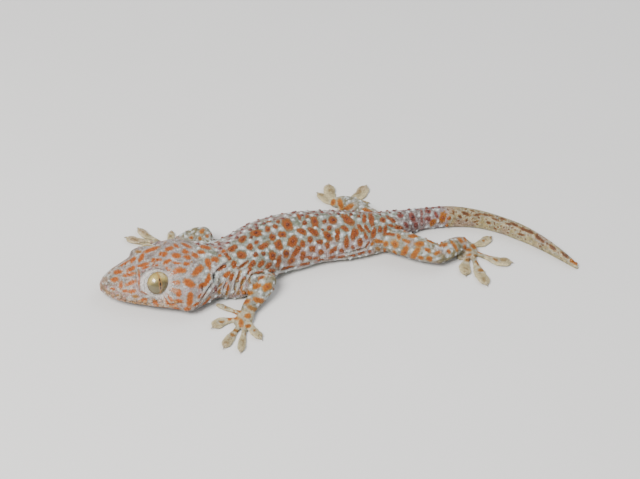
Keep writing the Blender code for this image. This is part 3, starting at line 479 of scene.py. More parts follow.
def camera_axes():
    heading = math.radians(CAMERA_HEADING)
    rise = math.radians(CAMERA_ELEVATION)
    roll = math.radians(CAMERA_ROLL)
    forward = np.array(
        [math.cos(rise) * math.sin(heading), math.cos(rise) * math.cos(heading), -math.sin(rise)]
    )
    level = np.array([math.cos(heading), -math.sin(heading), 0.0])
    upright = np.cross(level, forward)
    right = level * math.cos(roll) + upright * math.sin(roll)
    up = -level * math.sin(roll) + upright * math.cos(roll)
    return forward, right, up


FORWARD, RIGHT, UP = camera_axes()


def pixel_ray(x, y):
    across = (x - PHOTO_CENTRE[0]) / FOCAL_PIXELS
    down = (y - PHOTO_CENTRE[1]) / FOCAL_PIXELS
    return FORWARD + across * RIGHT - down * UP


CAMERA_PLACE = np.array(AIM_POINT) - AIM_DISTANCE * pixel_ray(*AIM_PIXEL)


def pixels_of(points):
    away = points - CAMERA_PLACE
    depth = away @ FORWARD
    x = PHOTO_CENTRE[0] + FOCAL_PIXELS * (away @ RIGHT) / depth
    y = PHOTO_CENTRE[1] - FOCAL_PIXELS * (away @ UP) / depth
    return np.stack([x, y], axis=1), depth


def make_camera():
    data = bpy.data.cameras.new("camera")
    data.sensor_width = SENSOR_WIDTH
    data.lens = FOCAL_PIXELS / PHOTO_WIDTH * SENSOR_WIDTH
    data.clip_start = 0.01
    data.clip_end = 20.0
    camera = bpy.data.objects.new("camera", data)
    turn = Matrix((RIGHT, UP, -FORWARD)).transposed()
    camera.matrix_world = Matrix.Translation(Vector(CAMERA_PLACE * MM)) @ turn.to_4x4()
    bpy.context.scene.camera = link(camera)


# Meshes from arrays.


def mesh_from(name, points, faces, colours=None, uvs=None, material=None):
    """An object from points in millimetres and lists of faces that have one size each."""
    mesh = bpy.data.meshes.new(name)
    mesh.vertices.add(len(points))
    mesh.vertices.foreach_set("co", (np.asarray(points) * MM).astype(np.float32).ravel())
    loops = np.concatenate([group.ravel() for group in faces])
    sizes = np.concatenate([np.full(len(group), group.shape[1]) for group in faces])
    mesh.loops.add(len(loops))
    mesh.loops.foreach_set("vertex_index", loops.astype(np.int32))
    mesh.polygons.add(len(sizes))
    starts = np.concatenate([[0], np.cumsum(sizes)[:-1]])
    mesh.polygons.foreach_set("loop_start", starts.astype(np.int32))
    mesh.update(calc_edges=True)
    mesh.validate()
    mesh.shade_smooth()
    if colours is not None:
        layer = mesh.color_attributes.new("Markings", "FLOAT_COLOR", "POINT")
        full = np.concatenate([colours, np.ones((len(colours), 1))], axis=1)
        layer.data.foreach_set("color", full.astype(np.float32).ravel())
    if uvs is not None:
        layer = mesh.uv_layers.new(name="OFBake")
        layer.data.foreach_set("uv", uvs.astype(np.float32).ravel())
    if material is not None:
        mesh.materials.append(material)
    return link(bpy.data.objects.new(name, mesh))


def read(items, name, width, kind=float):
    """One attribute of every item, as rows of this width."""
    values = np.empty(len(items) * width, kind)
    items.foreach_get(name, values)
    return values.reshape(-1, width)


def halved(quads):
    """The two triangles of each quad."""
    return np.concatenate([quads[:, [0, 1, 2]], quads[:, [0, 2, 3]]])


def vertex_normals(points, quads):
    first = points[quads[:, 2]] - points[quads[:, 0]]
    second = points[quads[:, 3]] - points[quads[:, 1]]
    face = np.cross(first, second)
    total = np.zeros_like(points)
    for axis in range(3):
        for corner in range(4):
            total[:, axis] += np.bincount(quads[:, corner], face[:, axis], len(points))
    return unit(total)


def smoothed(points, edges, rounds, keep=None):
    """Each point moves half way to the middle of its neighbours, for its own number of rounds.
    Where keep is 1 it also moves back out each time, so that only small bumps go."""
    ends = np.concatenate([edges[:, 0], edges[:, 1]])
    others = np.concatenate([edges[:, 1], edges[:, 0]])
    count = np.maximum(np.bincount(ends, minlength=len(points)), 1)

    def to_middle(points):
        sums = [np.bincount(ends, points[others, axis], len(points)) for axis in range(3)]
        return np.stack([total / count for total in sums], axis=1) - points

    for done in range(int(rounds.max())):
        share = np.clip(rounds - done, 0.0, 1.0)
        points = points + (share * SMOOTH_STEP)[:, None] * to_middle(points)
        if keep is not None:
            points = points - (share * keep * PUSH_BACK)[:, None] * to_middle(points)
    return points


def largest_part(count, edges):
    """Which points belong to the largest connected part."""
    label = np.arange(count)
    while True:
        low = np.minimum(label[edges[:, 0]], label[edges[:, 1]])
        fresh = label.copy()
        np.minimum.at(fresh, edges[:, 0], low)
        np.minimum.at(fresh, edges[:, 1], low)
        fresh = fresh[fresh]
        if (fresh == label).all():
            break
        label = fresh
    return label == np.bincount(label).argmax()


def voxel_arrays(obj, size):
    """Points in millimetres, quads and edges of the object's voxel remesh, largest part only."""
    modifier = obj.modifiers.new("voxels", "REMESH")
    modifier.mode = "VOXEL"
    modifier.voxel_size = size * MM
    depsgraph = bpy.context.evaluated_depsgraph_get()
    mesh = obj.evaluated_get(depsgraph).to_mesh()
    points = read(mesh.vertices, "co", 3) / MM
    quads = read(mesh.loops, "vertex_index", 1, int).reshape(-1, 4)
    edges = read(mesh.edges, "vertices", 2, int)
    kept = largest_part(len(points), edges)
    number = np.cumsum(kept) - 1
    quads = number[quads[kept[quads[:, 0]]]]
    edges = number[edges[kept[edges[:, 0]]]]
    obj.modifiers.remove(modifier)
    return points[kept], quads, edges


# The head's own frame.
HEAD_BACK = unit(np.array(NAPE) - np.array(SNOUT))
HEAD_LEFT = np.array([HEAD_BACK[1], -HEAD_BACK[0]])


def head_place(points):
    """Where points are in the head's frame: u back, v to the left, z up."""
    flat = points[:, :2] - np.array(SNOUT)
    return np.stack([flat @ HEAD_BACK, flat @ HEAD_LEFT, points[:, 2]], axis=1)


def head_vector(back, left, up):
    flat = back * HEAD_BACK + left * HEAD_LEFT
    return np.array([flat[0], flat[1], up])


def head_point(u, v, z):
    flat = np.array(SNOUT) + u * HEAD_BACK + v * HEAD_LEFT
    return np.array([flat[0], flat[1], z])


def mouth_height(u):
    return np.interp(u, [row[0] for row in MOUTH], [row[1] for row in MOUTH])


def pit_distances(place, side):
    """How far points of the head are from a nostril, and from an ear in the ear's own size."""
    nostril = np.array([NOSTRIL["u"], side * NOSTRIL["v"], NOSTRIL["z"]])
    ear = (place - np.array([EAR["u"], side * EAR["v"], EAR["z"]])) / EAR["size"]
    return np.linalg.norm(place - nostril, axis=1), np.linalg.norm(ear, axis=1)


def eye_frame(side):
    """An eye's middle and the way it looks."""
    rise = math.radians(EYE["rise"])
    forward = math.radians(EYE["forward"])
    centre = head_point(EYE["u"], side * EYE["v"], EYE["z"])
    gaze = head_vector(
        -math.sin(forward) * math.cos(rise), side * math.cos(forward) * math.cos(rise), math.sin(rise)
    )
    return centre, gaze


def round_eye(points, side):
    """Each point's distance and direction from an eye's middle, and its angle from the gaze."""
    centre, gaze = eye_frame(side)
    away = points - centre
    direction = unit(away)
    return np.linalg.norm(away, axis=1), direction, np.arccos(np.clip(direction @ gaze, -1.0, 1.0))


def before_eye(direction, gaze):
    """The heading round the gaze of each direction, and how far forward that is, from 0 to 1."""
    flat = unit(direction - (direction @ gaze)[:, None] * gaze)
    return flat, np.clip(-(flat @ head_vector(1.0, 0.0, 0.0)) + 0.2 * flat[:, 2], 0.0, 1.0) ** 2


def across_gaze(gaze):
    """The ways right and up in a plane across the gaze."""
    up = unit(np.array([0.0, 0.0, 1.0]) - gaze[2] * gaze)
    return np.cross(up, gaze), up


def flesh_object():
    """All flesh nodes, made a little thicker so that they join, and a ball in each eye socket."""
    bm = bmesh.new()
    for name in FLESH:
        piece = bmesh.new()
        piece.from_mesh(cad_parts[name].data)
        bmesh.ops.remove_doubles(piece, verts=piece.verts, dist=1e-6)
        bmesh.ops.recalc_face_normals(piece, faces=piece.faces)
        piece.normal_update()
        inflate = FOOT_INFLATE if name in FOOT_NODES else INFLATE
        moves = [vertex.normal * (inflate * MM) for vertex in piece.verts]
        for vertex, move in zip(piece.verts, moves):
            vertex.co += move
        mesh = bpy.data.meshes.new("flesh_part")
        piece.to_mesh(mesh)
        piece.free()
        bm.from_mesh(mesh)
        bpy.data.meshes.remove(mesh)
    for side in (1, -1):
        bmesh.ops.create_uvsphere(
            bm, u_segments=32, v_segments=20, radius=(EYE["radius"] + INFLATE) * MM,
            matrix=Matrix.Translation(Vector(eye_frame(side)[0] * MM)),
        )
    bmesh.ops.create_icosphere(
        bm, subdivisions=3, radius=TAIL_END[1] * MM, matrix=Matrix.Translation(Vector(TAIL_END[0]) * MM)
    )
    for toes in FEET.values():
        for _, pad, tip, width in toes:
            along = np.array(tip) - np.array(pad)
            length = np.linalg.norm(along)
            turn = Matrix.Rotation(math.atan2(along[1], along[0]), 4, "Z")
            middle = np.append(np.array(pad) + PAD["middle"] * along, PAD["z"])
            size = Matrix.Diagonal((PAD["length"] * length, PAD["width"] * width, PAD["height"], 1.0))
            place = Matrix.Translation(Vector(middle * MM)) @ turn @ size @ Matrix.Scale(MM, 4)
            bmesh.ops.create_icosphere(bm, subdivisions=3, radius=1.0, matrix=place)
    return object_of(bm, "flesh")


def node_labels(points):
    """The nearest flesh node of each point, as a number in FLESH."""
    corners = []
    triangles = []
    owner = []
    for number, name in enumerate(FLESH):
        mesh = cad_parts[name].data
        base = len(corners)
        corners.extend(vertex.co / MM for vertex in mesh.vertices)
        for face in mesh.polygons:
            triangles.append([base + index for index in face.vertices])
            owner.append(number)
    tree = BVHTree.FromPolygons(corners, triangles)
    return np.array([owner[tree.find_nearest(point)[2]] for point in points.tolist()])


def among(labels, names):
    return np.isin(labels, [FLESH.index(name) for name in names])


def by_region(labels, values):
    """Each point's value from a table of values by region."""
    result = np.zeros(len(labels))
    for region, names in REGIONS.items():
        result[among(labels, names)] = values[region]
    return result


class Line:
    """A flat line of many short steps: how far along it a point is, how far left, and its heading."""

    def __init__(self, corners, step=0.5):
        corners = np.array(corners, float)
        lengths = np.concatenate([[0.0], np.cumsum(np.linalg.norm(np.diff(corners, axis=0), axis=1))])
        self.along = np.arange(0.0, lengths[-1], step)
        self.places = np.stack(
            [np.interp(self.along, lengths, corners[:, axis]) for axis in range(2)], axis=1
        )
        kernel = np.ones(9) / 9.0
        padded = np.pad(self.places, ((4, 4), (0, 0)), mode="edge")
        smooth = np.stack([np.convolve(padded[:, axis], kernel, "valid") for axis in range(2)], axis=1)
        self.headings = unit(np.gradient(smooth, axis=0))
        self.tree = flat_kd(self.places)

    def place_of(self, points):
        """Along the line, to its left, and its heading, for each point."""
        found = np.array([self.tree.find((x, y, 0.0))[1] for x, y in points[:, :2].tolist()])
        away = points[:, :2] - self.places[found]
        heading = self.headings[found]
        beyond = np.sum(away * heading, axis=1)
        side = away[:, 0] * heading[:, 1] - away[:, 1] * heading[:, 0]
        return self.along[found] + beyond, side, heading


def make_skin():
    """The skin's points, quads and node labels."""
    flesh = flesh_object()
    points, quads, edges = voxel_arrays(flesh, VOXEL)
    labels = node_labels(points)
    rounds = by_region(labels, ROUNDS)
    keep = 1.0 - among(labels, ("torso", "neck", "tail_root", "tail_regrown"))
    inflate = np.where(among(labels, FOOT_NODES), FOOT_INFLATE, INFLATE)
    shared = smoothed(np.stack([rounds, keep, inflate], axis=1), edges, np.full(len(points), 8.0))
    rounds, keep, inflate = shared.T
    points = smoothed(points, edges, rounds, keep)
    normals = vertex_normals(points, quads)
    shrunk = SHRINKING * (1.0 - keep)
    points = points - (inflate + COAT_DEPTH - shrunk)[:, None] * normals
    bpy.data.objects.remove(flesh)
    return points, quads, labels


def pulled(points, normals):
    """The outline moved where PULLS says, most at each place and fading out round it."""
    pixels, depth = pixels_of(points)
    facing = -(normals @ FORWARD)
    move = np.zeros_like(points)
    for x, y, reach, right, down in PULLS:
        away = np.hypot(pixels[:, 0] - x, pixels[:, 1] - y) / reach
        share = bell(away, 1.0) * smoothstep(-0.75, -0.2, facing)
        scale = depth / FOCAL_PIXELS
        move += (share * scale)[:, None] * (right * RIGHT - down * UP)
    return points + move


def crease_moves(points, tree):
    """How far creases press the skin in, with a soft fold on both sides of each."""
    move = np.zeros(len(points))
    for depth, width, mirrored, corners in CREASES:
        hits = []
        for x, y in corners:
            hit = tree.ray_cast(Vector(CAMERA_PLACE), Vector(pixel_ray(x, y)))[0]
            if hit is not None:
                hits.append(np.array(hit))
        if len(hits) < 2:
            continue
        hits = np.array(hits)
        move += crease_profile(points, hits, depth, width)
        if mirrored:
            _, off, heading = SPINE_LINE.place_of(hits)
            flipped = hits.copy()
            left = np.stack([heading[:, 1], -heading[:, 0]], axis=1)
            flipped[:, :2] = hits[:, :2] - 2.0 * off[:, None] * left
            flipped = np.array([tree.find_nearest(Vector(hit))[0] for hit in flipped])
            move += crease_profile(points, flipped, depth, width)
    return move


def crease_profile(points, corners, depth, width):
    """The moves for one crease along these corners."""
    centre = corners.mean(axis=0)
    reach = np.linalg.norm(corners - centre, axis=1).max() + 5.0 * width
    near = np.flatnonzero(np.linalg.norm(points - centre, axis=1) < reach)
    best = np.full(len(near), 1e9)
    ends = np.zeros(len(near))
    total = len(corners) - 1
    for number in range(total):
        start, line = corners[number], corners[number + 1] - corners[number]
        share = np.clip((points[near] - start) @ line / max(float(line @ line), 1e-9), 0.0, 1.0)
        distance = np.linalg.norm(points[near] - start - share[:, None] * line, axis=1)
        closer = distance < best
        best = np.where(closer, distance, best)
        ends = np.where(closer, (number + share) / total, ends)
    fade = smoothstep(0.0, 0.2, ends) * smoothstep(1.0, 0.8, ends)
    shape = -bell(best, width) + 0.45 * bell(best - 2.2 * width, 1.1 * width)
    move = np.zeros(len(points))
    move[near] = depth * shape * (0.35 + 0.65 * fade)
    return move


SPINE_LINE = Line(SPINE)
LEG_LINE = {name: Line(corners) for name, corners in LEG_LINES.items()}


def shape_head(points, normals, place):
    """The mouth, nostrils and ears, as moves along the skin's normal."""
    move = np.zeros(len(points))
    level = place[:, 2] - mouth_height(place[:, 0])
    reach = 1.0 - smoothstep(31.5, 33.5, place[:, 0])
    side_on = smoothstep(0.95, 0.6, np.abs(normals[:, 2]))
    move += reach * side_on * (-0.62 * bell(level, 0.42) + 0.16 * bell(np.abs(level) - 1.1, 0.8))
    for side in (1, -1):
        nostril, ear = pit_distances(place, side)
        move += -1.0 * np.exp(-((nostril / 0.62) ** 4)) + 0.28 * bell(nostril - 1.25, 0.5)
        move += -1.6 * np.exp(-(ear ** 4)) + 0.35 * bell(ear - 1.5, 0.4)
    return move


def shape_eyes(points):
    """The skin round each eye is turned into a rim over the eyeball, and goes under it inside."""
    opening = math.radians(EYE["open"])
    for side in (1, -1):
        centre, gaze = eye_frame(side)
        distance, direction, angle = round_eye(points, side)
        near = (distance < EYE["radius"] + EYE_REACH[0]) & (angle < opening + EYE_REACH[1])
        snap = near & (np.abs(angle - opening) < math.radians(EYE_SNAP))
        flat, front = before_eye(direction, gaze)
        snapped = math.cos(opening) * gaze + math.sin(opening) * flat
        direction = np.where(snap[:, None], snapped, direction)
        angle = np.where(snap, opening, angle)
        rim = EYE["radius"] + EYE_RIM
        inside = near & (angle < opening - 1e-6)
        wide = np.radians(EYE_RING[0] + (EYE_RING[1] - EYE_RING[0]) * front)
        past = (angle - opening) / wide
        bulge = 0.4 * bell(past - 0.4, 0.5) - 0.38 * bell(past - 1.35, 0.3)
        slope = np.radians(22.0 - 9.0 * flat[:, 2])
        drop = (distance - rim) * smoothstep(1.0, 0.0, (angle - opening) / slope)
        fresh = distance + (bulge - drop) * smoothstep(4.6, 2.2, distance - EYE["radius"])
        fresh = np.where(snap, rim, fresh)
        fresh = np.where(near & ~inside & ~snap, np.maximum(fresh, EYE["radius"] + 0.25), fresh)
        fresh = np.where(inside, EYE["radius"] - EYE_UNDER, fresh)
        points = np.where(near[:, None], centre + direction * fresh[:, None], points)
    return points


def skin_markings(points, normals, labels, seen, tree):
    """The skin's colour at each point, in linear light."""
    place = head_place(points)
    heading = SPINE_LINE.place_of(points)[2]
    head = among(labels, HEAD_NODES)
    trunk = among(labels, TRUNK_NODES + TAIL_NODES)
    foot = among(labels, FOOT_NODES)
    regrown = smoothstep(REGROWN_FROM_X - 3.0, REGROWN_FROM_X + 1.0, points[:, 0])
    tail = regrown * trunk
    neck = smoothstep(-36.0, -46.0, points[:, 0])
    on_head = smoothstep(46.0, 40.0, place[:, 0]) * (neck > 0.5)
    level = place[:, 2] - mouth_height(place[:, 0])
    near_mouth = bell(level + 0.4, 1.9) * smoothstep(36.0, 26.0, place[:, 0])
    # Lumps of pale blue-white: partly the skin's own pale patches, partly painted highlights on its glossy
    # granules.
    lumps = noise(points, 2.6, 1) * 0.6 + noise(points, 1.1, 2) * 0.4
    light = smoothstep(0.56, 0.78, lumps) * 0.85 * (1.0 - 0.4 * on_head)
    dark = noise(points, 3.2, 3) * 0.55 + noise(points, 1.3, 4) * 0.45
    leftward = normals[:, 0] * heading[:, 1] - normals[:, 1] * heading[:, 0]
    body = among(labels, TRUNK_NODES) * (1.0 - on_head) * (1.0 - regrown)
    sides = smoothstep(0.6, 0.9, leftward) + smoothstep(-0.12, -0.42, leftward)
    sides *= 0.35 + 0.65 * smoothstep(0.35, 0.7, noise(points, 2.4, 8))
    ground = {name: linear(colour) for name, colour in GROUND.items()}
    colour = np.tile(ground["back"], (len(points), 1))

    def blend(colour, other, share):
        return colour + (other - colour) * np.asarray(share)[:, None]

    for name, share in (
        ("flank", smoothstep(11.0, 5.0, points[:, 2])),
        ("belly", smoothstep(0.0, -0.6, normals[:, 2])),
        ("neck", neck),
        ("head", on_head),
        ("snout", on_head * smoothstep(18.0, 6.0, place[:, 0])),
        ("throat", on_head * smoothstep(3.6, 2.0, place[:, 2])),
        ("lips", on_head * near_mouth * 0.95),
        ("root", smoothstep(44.0, 54.0, points[:, 0]) * trunk),
        ("tail", tail),
        ("tail_below", tail * smoothstep(4.0, 1.5, points[:, 2])),
        ("leg", among(labels, LIMB_NODES)),
        ("foot", foot),
        # pale patches, partly painted highlight
        ("highlight", light * (1.0 - foot) * (1.0 - tail)),
        ("shade", smoothstep(0.56, 0.8, dark) * 0.65),
        ("pink", smoothstep(0.62, 0.85, noise(points, 7.0, 5)) * 0.4),
        ("pink", sides * 0.7 * body),
        # painted specular highlights: fine pale flecks on the head
        ("highlight", smoothstep(0.6, 0.8, noise(points, 0.9, 10)) * on_head * 0.5),
        ("pink", smoothstep(0.62, 0.8, noise(points, 1.4, 11)) * on_head * 0.6),
    ):
        colour = blend(colour, ground[name], share)
    colour = colour * (0.58 + 0.66 * noise(points, 1.2, 9))[:, None]
    mottle = smoothstep(0.42, 0.62, noise(points, 1.0, 13))
    for toes in FEET.values():
        for root, pad, tip, width in toes:
            start = np.array(pad) * 0.75 + np.array(root) * 0.25
            line = np.array(tip) - start
            away = points[:, :2] - start
            share = np.clip(away @ line / float(line @ line), 0.0, 1.0)
            off = np.linalg.norm(away - share[:, None] * line, axis=1) / width
            on_toe = foot * smoothstep(1.25, 1.05, off)
            colour = blend(colour, ground["pad_edge"], on_toe * (0.45 + 0.45 * smoothstep(0.5, 0.85, off)))
            centre = smoothstep(0.6, 0.25, off) * smoothstep(0.05, 0.3, share) * smoothstep(1.0, 0.8, share)
            colour = blend(colour, ground["pad"], on_toe * centre * (0.15 + 0.65 * mottle))
    ring = np.zeros(len(points))
    for side in (1, -1):
        distance, direction, angle = round_eye(points, side)
        front = before_eye(direction, eye_frame(side)[1])[1]
        near = smoothstep(1.3 + 1.3 * front, 0.7 + 0.9 * front, distance - EYE["radius"]) * head
        outer = EYE["open"] + EYE_RING_PALE[0] + (EYE_RING_PALE[1] - EYE_RING_PALE[0]) * front
        ring = np.maximum(ring, smoothstep(outer + 3.0, outer - 2.0, np.degrees(angle)) * near)
        nostril, ear = pit_distances(place, side)
        # A painted shadow inside each nostril and ear opening.
        colour = blend(colour, ground["pit_shadow"], smoothstep(0.85, 0.5, nostril))
        colour = blend(colour, ground["pit_shadow"], smoothstep(1.1, 0.8, ear))
    colour, bosses = paint_spots(colour, points, normals, labels, seen, tree)
    fine = noise(points, 0.7, 12)
    return blend(colour, ground["eye_ring"] * (0.78 + 0.34 * fine)[:, None], 0.92 * ring), bosses


def paint_spots(colour, points, normals, labels, seen, tree):
    """The colour with all the spots on it, and each spot's kind, place and radius."""
    kd = kd_of(points)
    pixels, depth = pixels_of(points)
    visible = np.flatnonzero(seen)
    flat = flat_kd(pixels[visible])
    wobble = noise(points, 0.9, 6) - 0.5 + 0.6 * (noise(points, 0.45, 7) - 0.5)
    strength = np.zeros(len(points))
    paint = np.zeros((len(points), 3))
    glow = np.zeros(len(points))
    random = np.random.default_rng(SEED + 1)

    def place(x, y):
        hit = tree.ray_cast(Vector(CAMERA_PLACE), Vector(pixel_ray(x, y)))
        if hit[0] is not None:
            return np.array(hit[0])
        return points[visible[flat.find((x, y, 0.0))[1]]]

    def spot(kind, start, end, axis, radius):
        edge, middle = (linear(shade) for shade in SPOT_COLOURS[kind])
        centre = (start + end) / 2.0
        reach = np.linalg.norm(end - start) / 2.0 + radius * 1.9 + 1.6
        found = np.array([item[1] for item in kd.find_range(Vector(centre), reach)], int)
        if not len(found):
            return
        away = points[found] - centre
        away = away - (away @ axis)[:, None] * axis
        line = end - start
        line = line - (line @ axis) * axis
        half = np.linalg.norm(line) / 2.0
        line = unit(line) if half > 0.05 else unit(np.cross(axis, np.array([0.3, 0.2, 0.9])))
        other = np.cross(axis, line)
        shape = np.abs(away @ line / (half + radius)) ** SPOT_SQUARE
        shape = shape + np.abs(away @ other / (radius * 1.04)) ** SPOT_SQUARE
        distance = shape ** (1.0 / SPOT_SQUARE) / (1.0 + SPOT_WOBBLE * wobble[found])
        soft = 0.3 / max(radius, 0.5)
        value = smoothstep(1.0 + soft, 1.0 - soft, distance)
        facing = normals[found] @ axis
        value = value * smoothstep(-0.1, 0.15, facing)
        inner = smoothstep(1.0, 0.55, distance)
        tone = edge + (middle - edge) * inner[:, None]
        if kind in SPOT_CORES and radius > 0.75:
            shift = (random.uniform(-0.3, 0.3) * line + random.uniform(-0.3, 0.3) * other) * radius
            core = np.linalg.norm(away - shift, axis=1) / radius
            dark = smoothstep(0.5, 0.12, core * (1.0 + 0.5 * wobble[found])) * random.uniform(0.3, 1.0)
            tone = tone + (linear(SPOT_CORES[kind]) - tone) * dark[:, None]
        stronger = value > strength[found]
        chosen = found[stronger]
        paint[chosen] = tone[stronger]
        strength[chosen] = value[stronger]
        glow[found] = np.maximum(glow[found], 0.3 * bell(distance - 1.45, 0.35))

    taken = []
    for kind, rows in SPOTS.items():
        for *ends, radius in rows:
            start, end = place(*ends[:2]), place(*ends[-2:])
            if np.linalg.norm(end - start) > SPOT_LONGEST:
                end = start
            middle = (start + end) / 2.0
            near = kd.find(Vector(middle))[1]
            normal = normals[near]
            facing = float(normal @ -FORWARD)
            lean = min(max(0.55 - facing, 0.0) * 1.6, 0.8)
            axis = unit(-FORWARD * (1.0 - lean) + normal * lean)
            size = SPOT_GROWTH * radius * depth[near] / FOCAL_PIXELS
            spot(kind, start, end, axis, size)
            taken.append((kind, middle, size))
            reach = np.linalg.norm(end - start) / 2.0
            if reach > 1.2 * size:
                taken[-1] = (kind, start, size)
                taken.append((kind, end, size))
    taken += place_hidden_spots(points, normals, labels, seen, kd, taken, spot)
    bosses = list(taken)
    free = strength < 0.05
    for kind, middle, size in taken:
        for item in kd.find_range(Vector(middle), size + 1.25):
            free[item[1]] = False
    free &= points[:, 2] > 1.5
    for number in random.permutation(np.flatnonzero(free)):
        kind = spot_kind(labels[number], points[number])
        if not free[number] or kind not in PALE_SPOTS or FLESH[labels[number]] in FOOT_NODES:
            continue
        gap, radius = PALE_SPOTS[kind]
        size = radius * random.uniform(0.75, 1.25)
        for item in kd.find_range(points[number], 1.7 * size):
            value = smoothstep(1.45, 0.6, item[2] / size * (1.0 + 0.4 * wobble[item[1]]))
            glow[item[1]] = max(glow[item[1]], 0.85 * value)
        for item in kd.find_range(points[number], gap * random.uniform(0.85, 1.2)):
            free[item[1]] = False
        bosses.append(("pale", points[number], size))
    colour = colour + (linear(GROUND["highlight"]) - colour) * (glow * (1.0 - strength))[:, None]
    return colour + (paint - colour) * strength[:, None], bosses


def spot_kind(label, point):
    name = FLESH[label]
    if name in HEAD_NODES:
        return "head"
    if name in LIMB_NODES + FOOT_NODES:
        return "leg"
    if point[0] > REGROWN_FROM_X - 3.0:
        return "tail"
    if point[0] > 50.0:
        return "root"
    return "body"


def place_hidden_spots(points, normals, labels, seen, kd, taken, spot):
    """Spots where the photograph doesn't reach, spaced as the seen ones are."""
    random = np.random.default_rng(SEED)
    blocked = np.zeros(len(points), bool)
    for kind, place, size in taken:
        for item in kd.find_range(Vector(place), size + (0.8 if kind in ("tail", "root") else 1.4)):
            blocked[item[1]] = True
    facing = normals @ -FORWARD
    far_side = among(labels, TRUNK_NODES) & (SPINE_LINE.place_of(points)[1] < 0.0)
    shown = seen & (facing > np.where(far_side, 0.5, 0.12))
    shown |= seen & among(labels, FOOT_NODES)
    head_limit = np.where(head_place(points)[:, 1] < 0.0, 0.25, 0.0)
    shown |= seen & among(labels, HEAD_NODES) & (facing > head_limit)
    shown &= ~among(labels, TAIL_NODES) | (points[:, 2] < 2.0)
    hidden = np.flatnonzero(~shown & (normals[:, 2] > -0.35) & (points[:, 2] > 1.2))
    added = []
    for number in random.permutation(hidden):
        if blocked[number]:
            continue
        round_it = [item[1] for item in kd.find_range(points[number], 1.7)]
        if not seen[number] and shown[round_it].mean() > 0.3:
            continue
        kind = spot_kind(labels[number], points[number])
        gap, radius = HIDDEN_SPOTS[kind]
        if FLESH[labels[number]] in FOOT_NODES:
            kind, (gap, radius) = "tan", HIDDEN_TOE_SPOTS
        if seen[number] and kind != "tail":
            gap, radius = EDGE_SPOTS[0] * gap, EDGE_SPOTS[1] * radius
            kind = "rust" if kind == "body" else kind
        size = radius * random.uniform(0.7, 1.3)
        turn = random.normal(size=3)
        axis = normals[number]
        turn = unit(turn - (turn @ axis) * axis)
        reach = size * random.uniform(0.0, 1.0)
        spot(kind, points[number] - turn * reach, points[number] + turn * reach, axis, size)
        added.append((kind, points[number], size))
        for item in kd.find_range(points[number], gap * random.uniform(0.85, 1.15)):
            blocked[item[1]] = True
    return added


def seen_points(points, normals, tree):
    """Whether the photograph shows each point."""
    view = unit(CAMERA_PLACE - points)
    facing = np.sum(normals * view, axis=1) > 0.03
    seen = np.zeros(len(points), bool)
    for number in np.flatnonzero(facing).tolist():
        start = points[number] + normals[number] * 0.25
        hit = tree.ray_cast(Vector(start), Vector(view[number]))
        seen[number] = hit[0] is None
    return seen


# The coat of scales.


def tube_quads(rings, sides):
    """The quads between rings of points that follow each other."""
    return np.array([
        (low + k, low + (k + 1) % sides, low + sides + (k + 1) % sides, low + sides + k)
        for low in range(0, (rings - 1) * sides, sides)
        for k in range(sides)
    ])


def domes(centre, normal, lie, along, across, height, profile, sides, phase, sink=0.12):
    """Closed low domes: points, faces, and each point's dome, share out from its middle and angle."""
    count = len(centre)
    side = np.cross(normal, lie)
    turn = phase[:, None] + np.arange(sides)[None, :] * (2.0 * math.pi / sides)
    rings = []
    for share, rise in profile:
        out = (
            lie[:, None, :] * (np.cos(turn) * along[:, None] * share)[:, :, None]
            + side[:, None, :] * (np.sin(turn) * across[:, None] * share)[:, :, None]
        )
        lift = (height * rise)[:, None] if rise > 0 else np.full((count, 1), -sink)
        rings.append(centre[:, None, :] + out + normal[:, None, :] * lift[:, :, None])
    top = centre + normal * height[:, None]
    per = sides * len(profile) + 1
    points = np.concatenate(rings + [top[:, None, :]], axis=1).reshape(-1, 3)
    base = (np.arange(count) * per)[:, None]
    last = (len(profile) - 1) * sides
    caps = np.array([(last + k, last + (k + 1) % sides, per - 1) for k in range(sides)])
    faces = [tube_quads(len(profile), sides), caps, np.arange(sides)[None, ::-1]]
    shares = np.concatenate([np.full(sides, share) for share, _ in profile] + [[0.0]])
    return {
        "points": points,
        "faces": [(group[:, None, :] + base).reshape(-1, group.shape[1]) for group in faces],
        "owner": np.repeat(np.arange(count), per),
        "share": np.tile(shares, count),
        "angle": np.concatenate([turn] * len(profile) + [np.zeros((count, 1))], axis=1).ravel(),
    }


def coat_piece(name, shape, colour, root_uv, material):
    """One joined piece of coat, with its markings and its patches on the skin's unwrap."""
    owner = shape["owner"]
    # Each dome is darker towards its rim: painted shade between the scales.
    tone = 0.72 + 0.28 * (1.0 - shape["share"])
    colours = colour[owner] * tone[:, None]
    patch = root_uv[owner] + 0.0014 * shape["share"][:, None] * np.stack(
        [np.cos(shape["angle"]), np.sin(shape["angle"])], axis=1
    )
    loops = np.concatenate([group.ravel() for group in shape["faces"]])
    points = shape["points"].copy()
    points[:, 2] = np.maximum(points[:, 2], 0.0)
    obj = mesh_from(name, points, shape["faces"], colours, patch[loops], material)
    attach(obj, "root")


def scattered(points, quads, normals, per_area, random):
    """Random places spread evenly over the skin, the skin's normal there and the nearest point."""
    corners = halved(quads)
    first, second, third = (points[corners[:, k]] for k in range(3))
    area = np.linalg.norm(np.cross(second - first, third - first), axis=1) / 2.0
    count = int(area.sum() * per_area)
    chosen = random.choice(len(corners), count, p=area / area.sum())
    corners = corners[chosen]
    root = np.sqrt(random.random(count))
    share = random.random(count)
    weights = np.stack([1.0 - root, root * (1.0 - share), root * share], axis=1)
    place = np.einsum("ij,ijk->ik", weights, points[corners])
    normal = unit(np.einsum("ij,ijk->ik", weights, normals[corners]))
    return place, normal, corners[np.arange(count), weights.argmax(axis=1)]


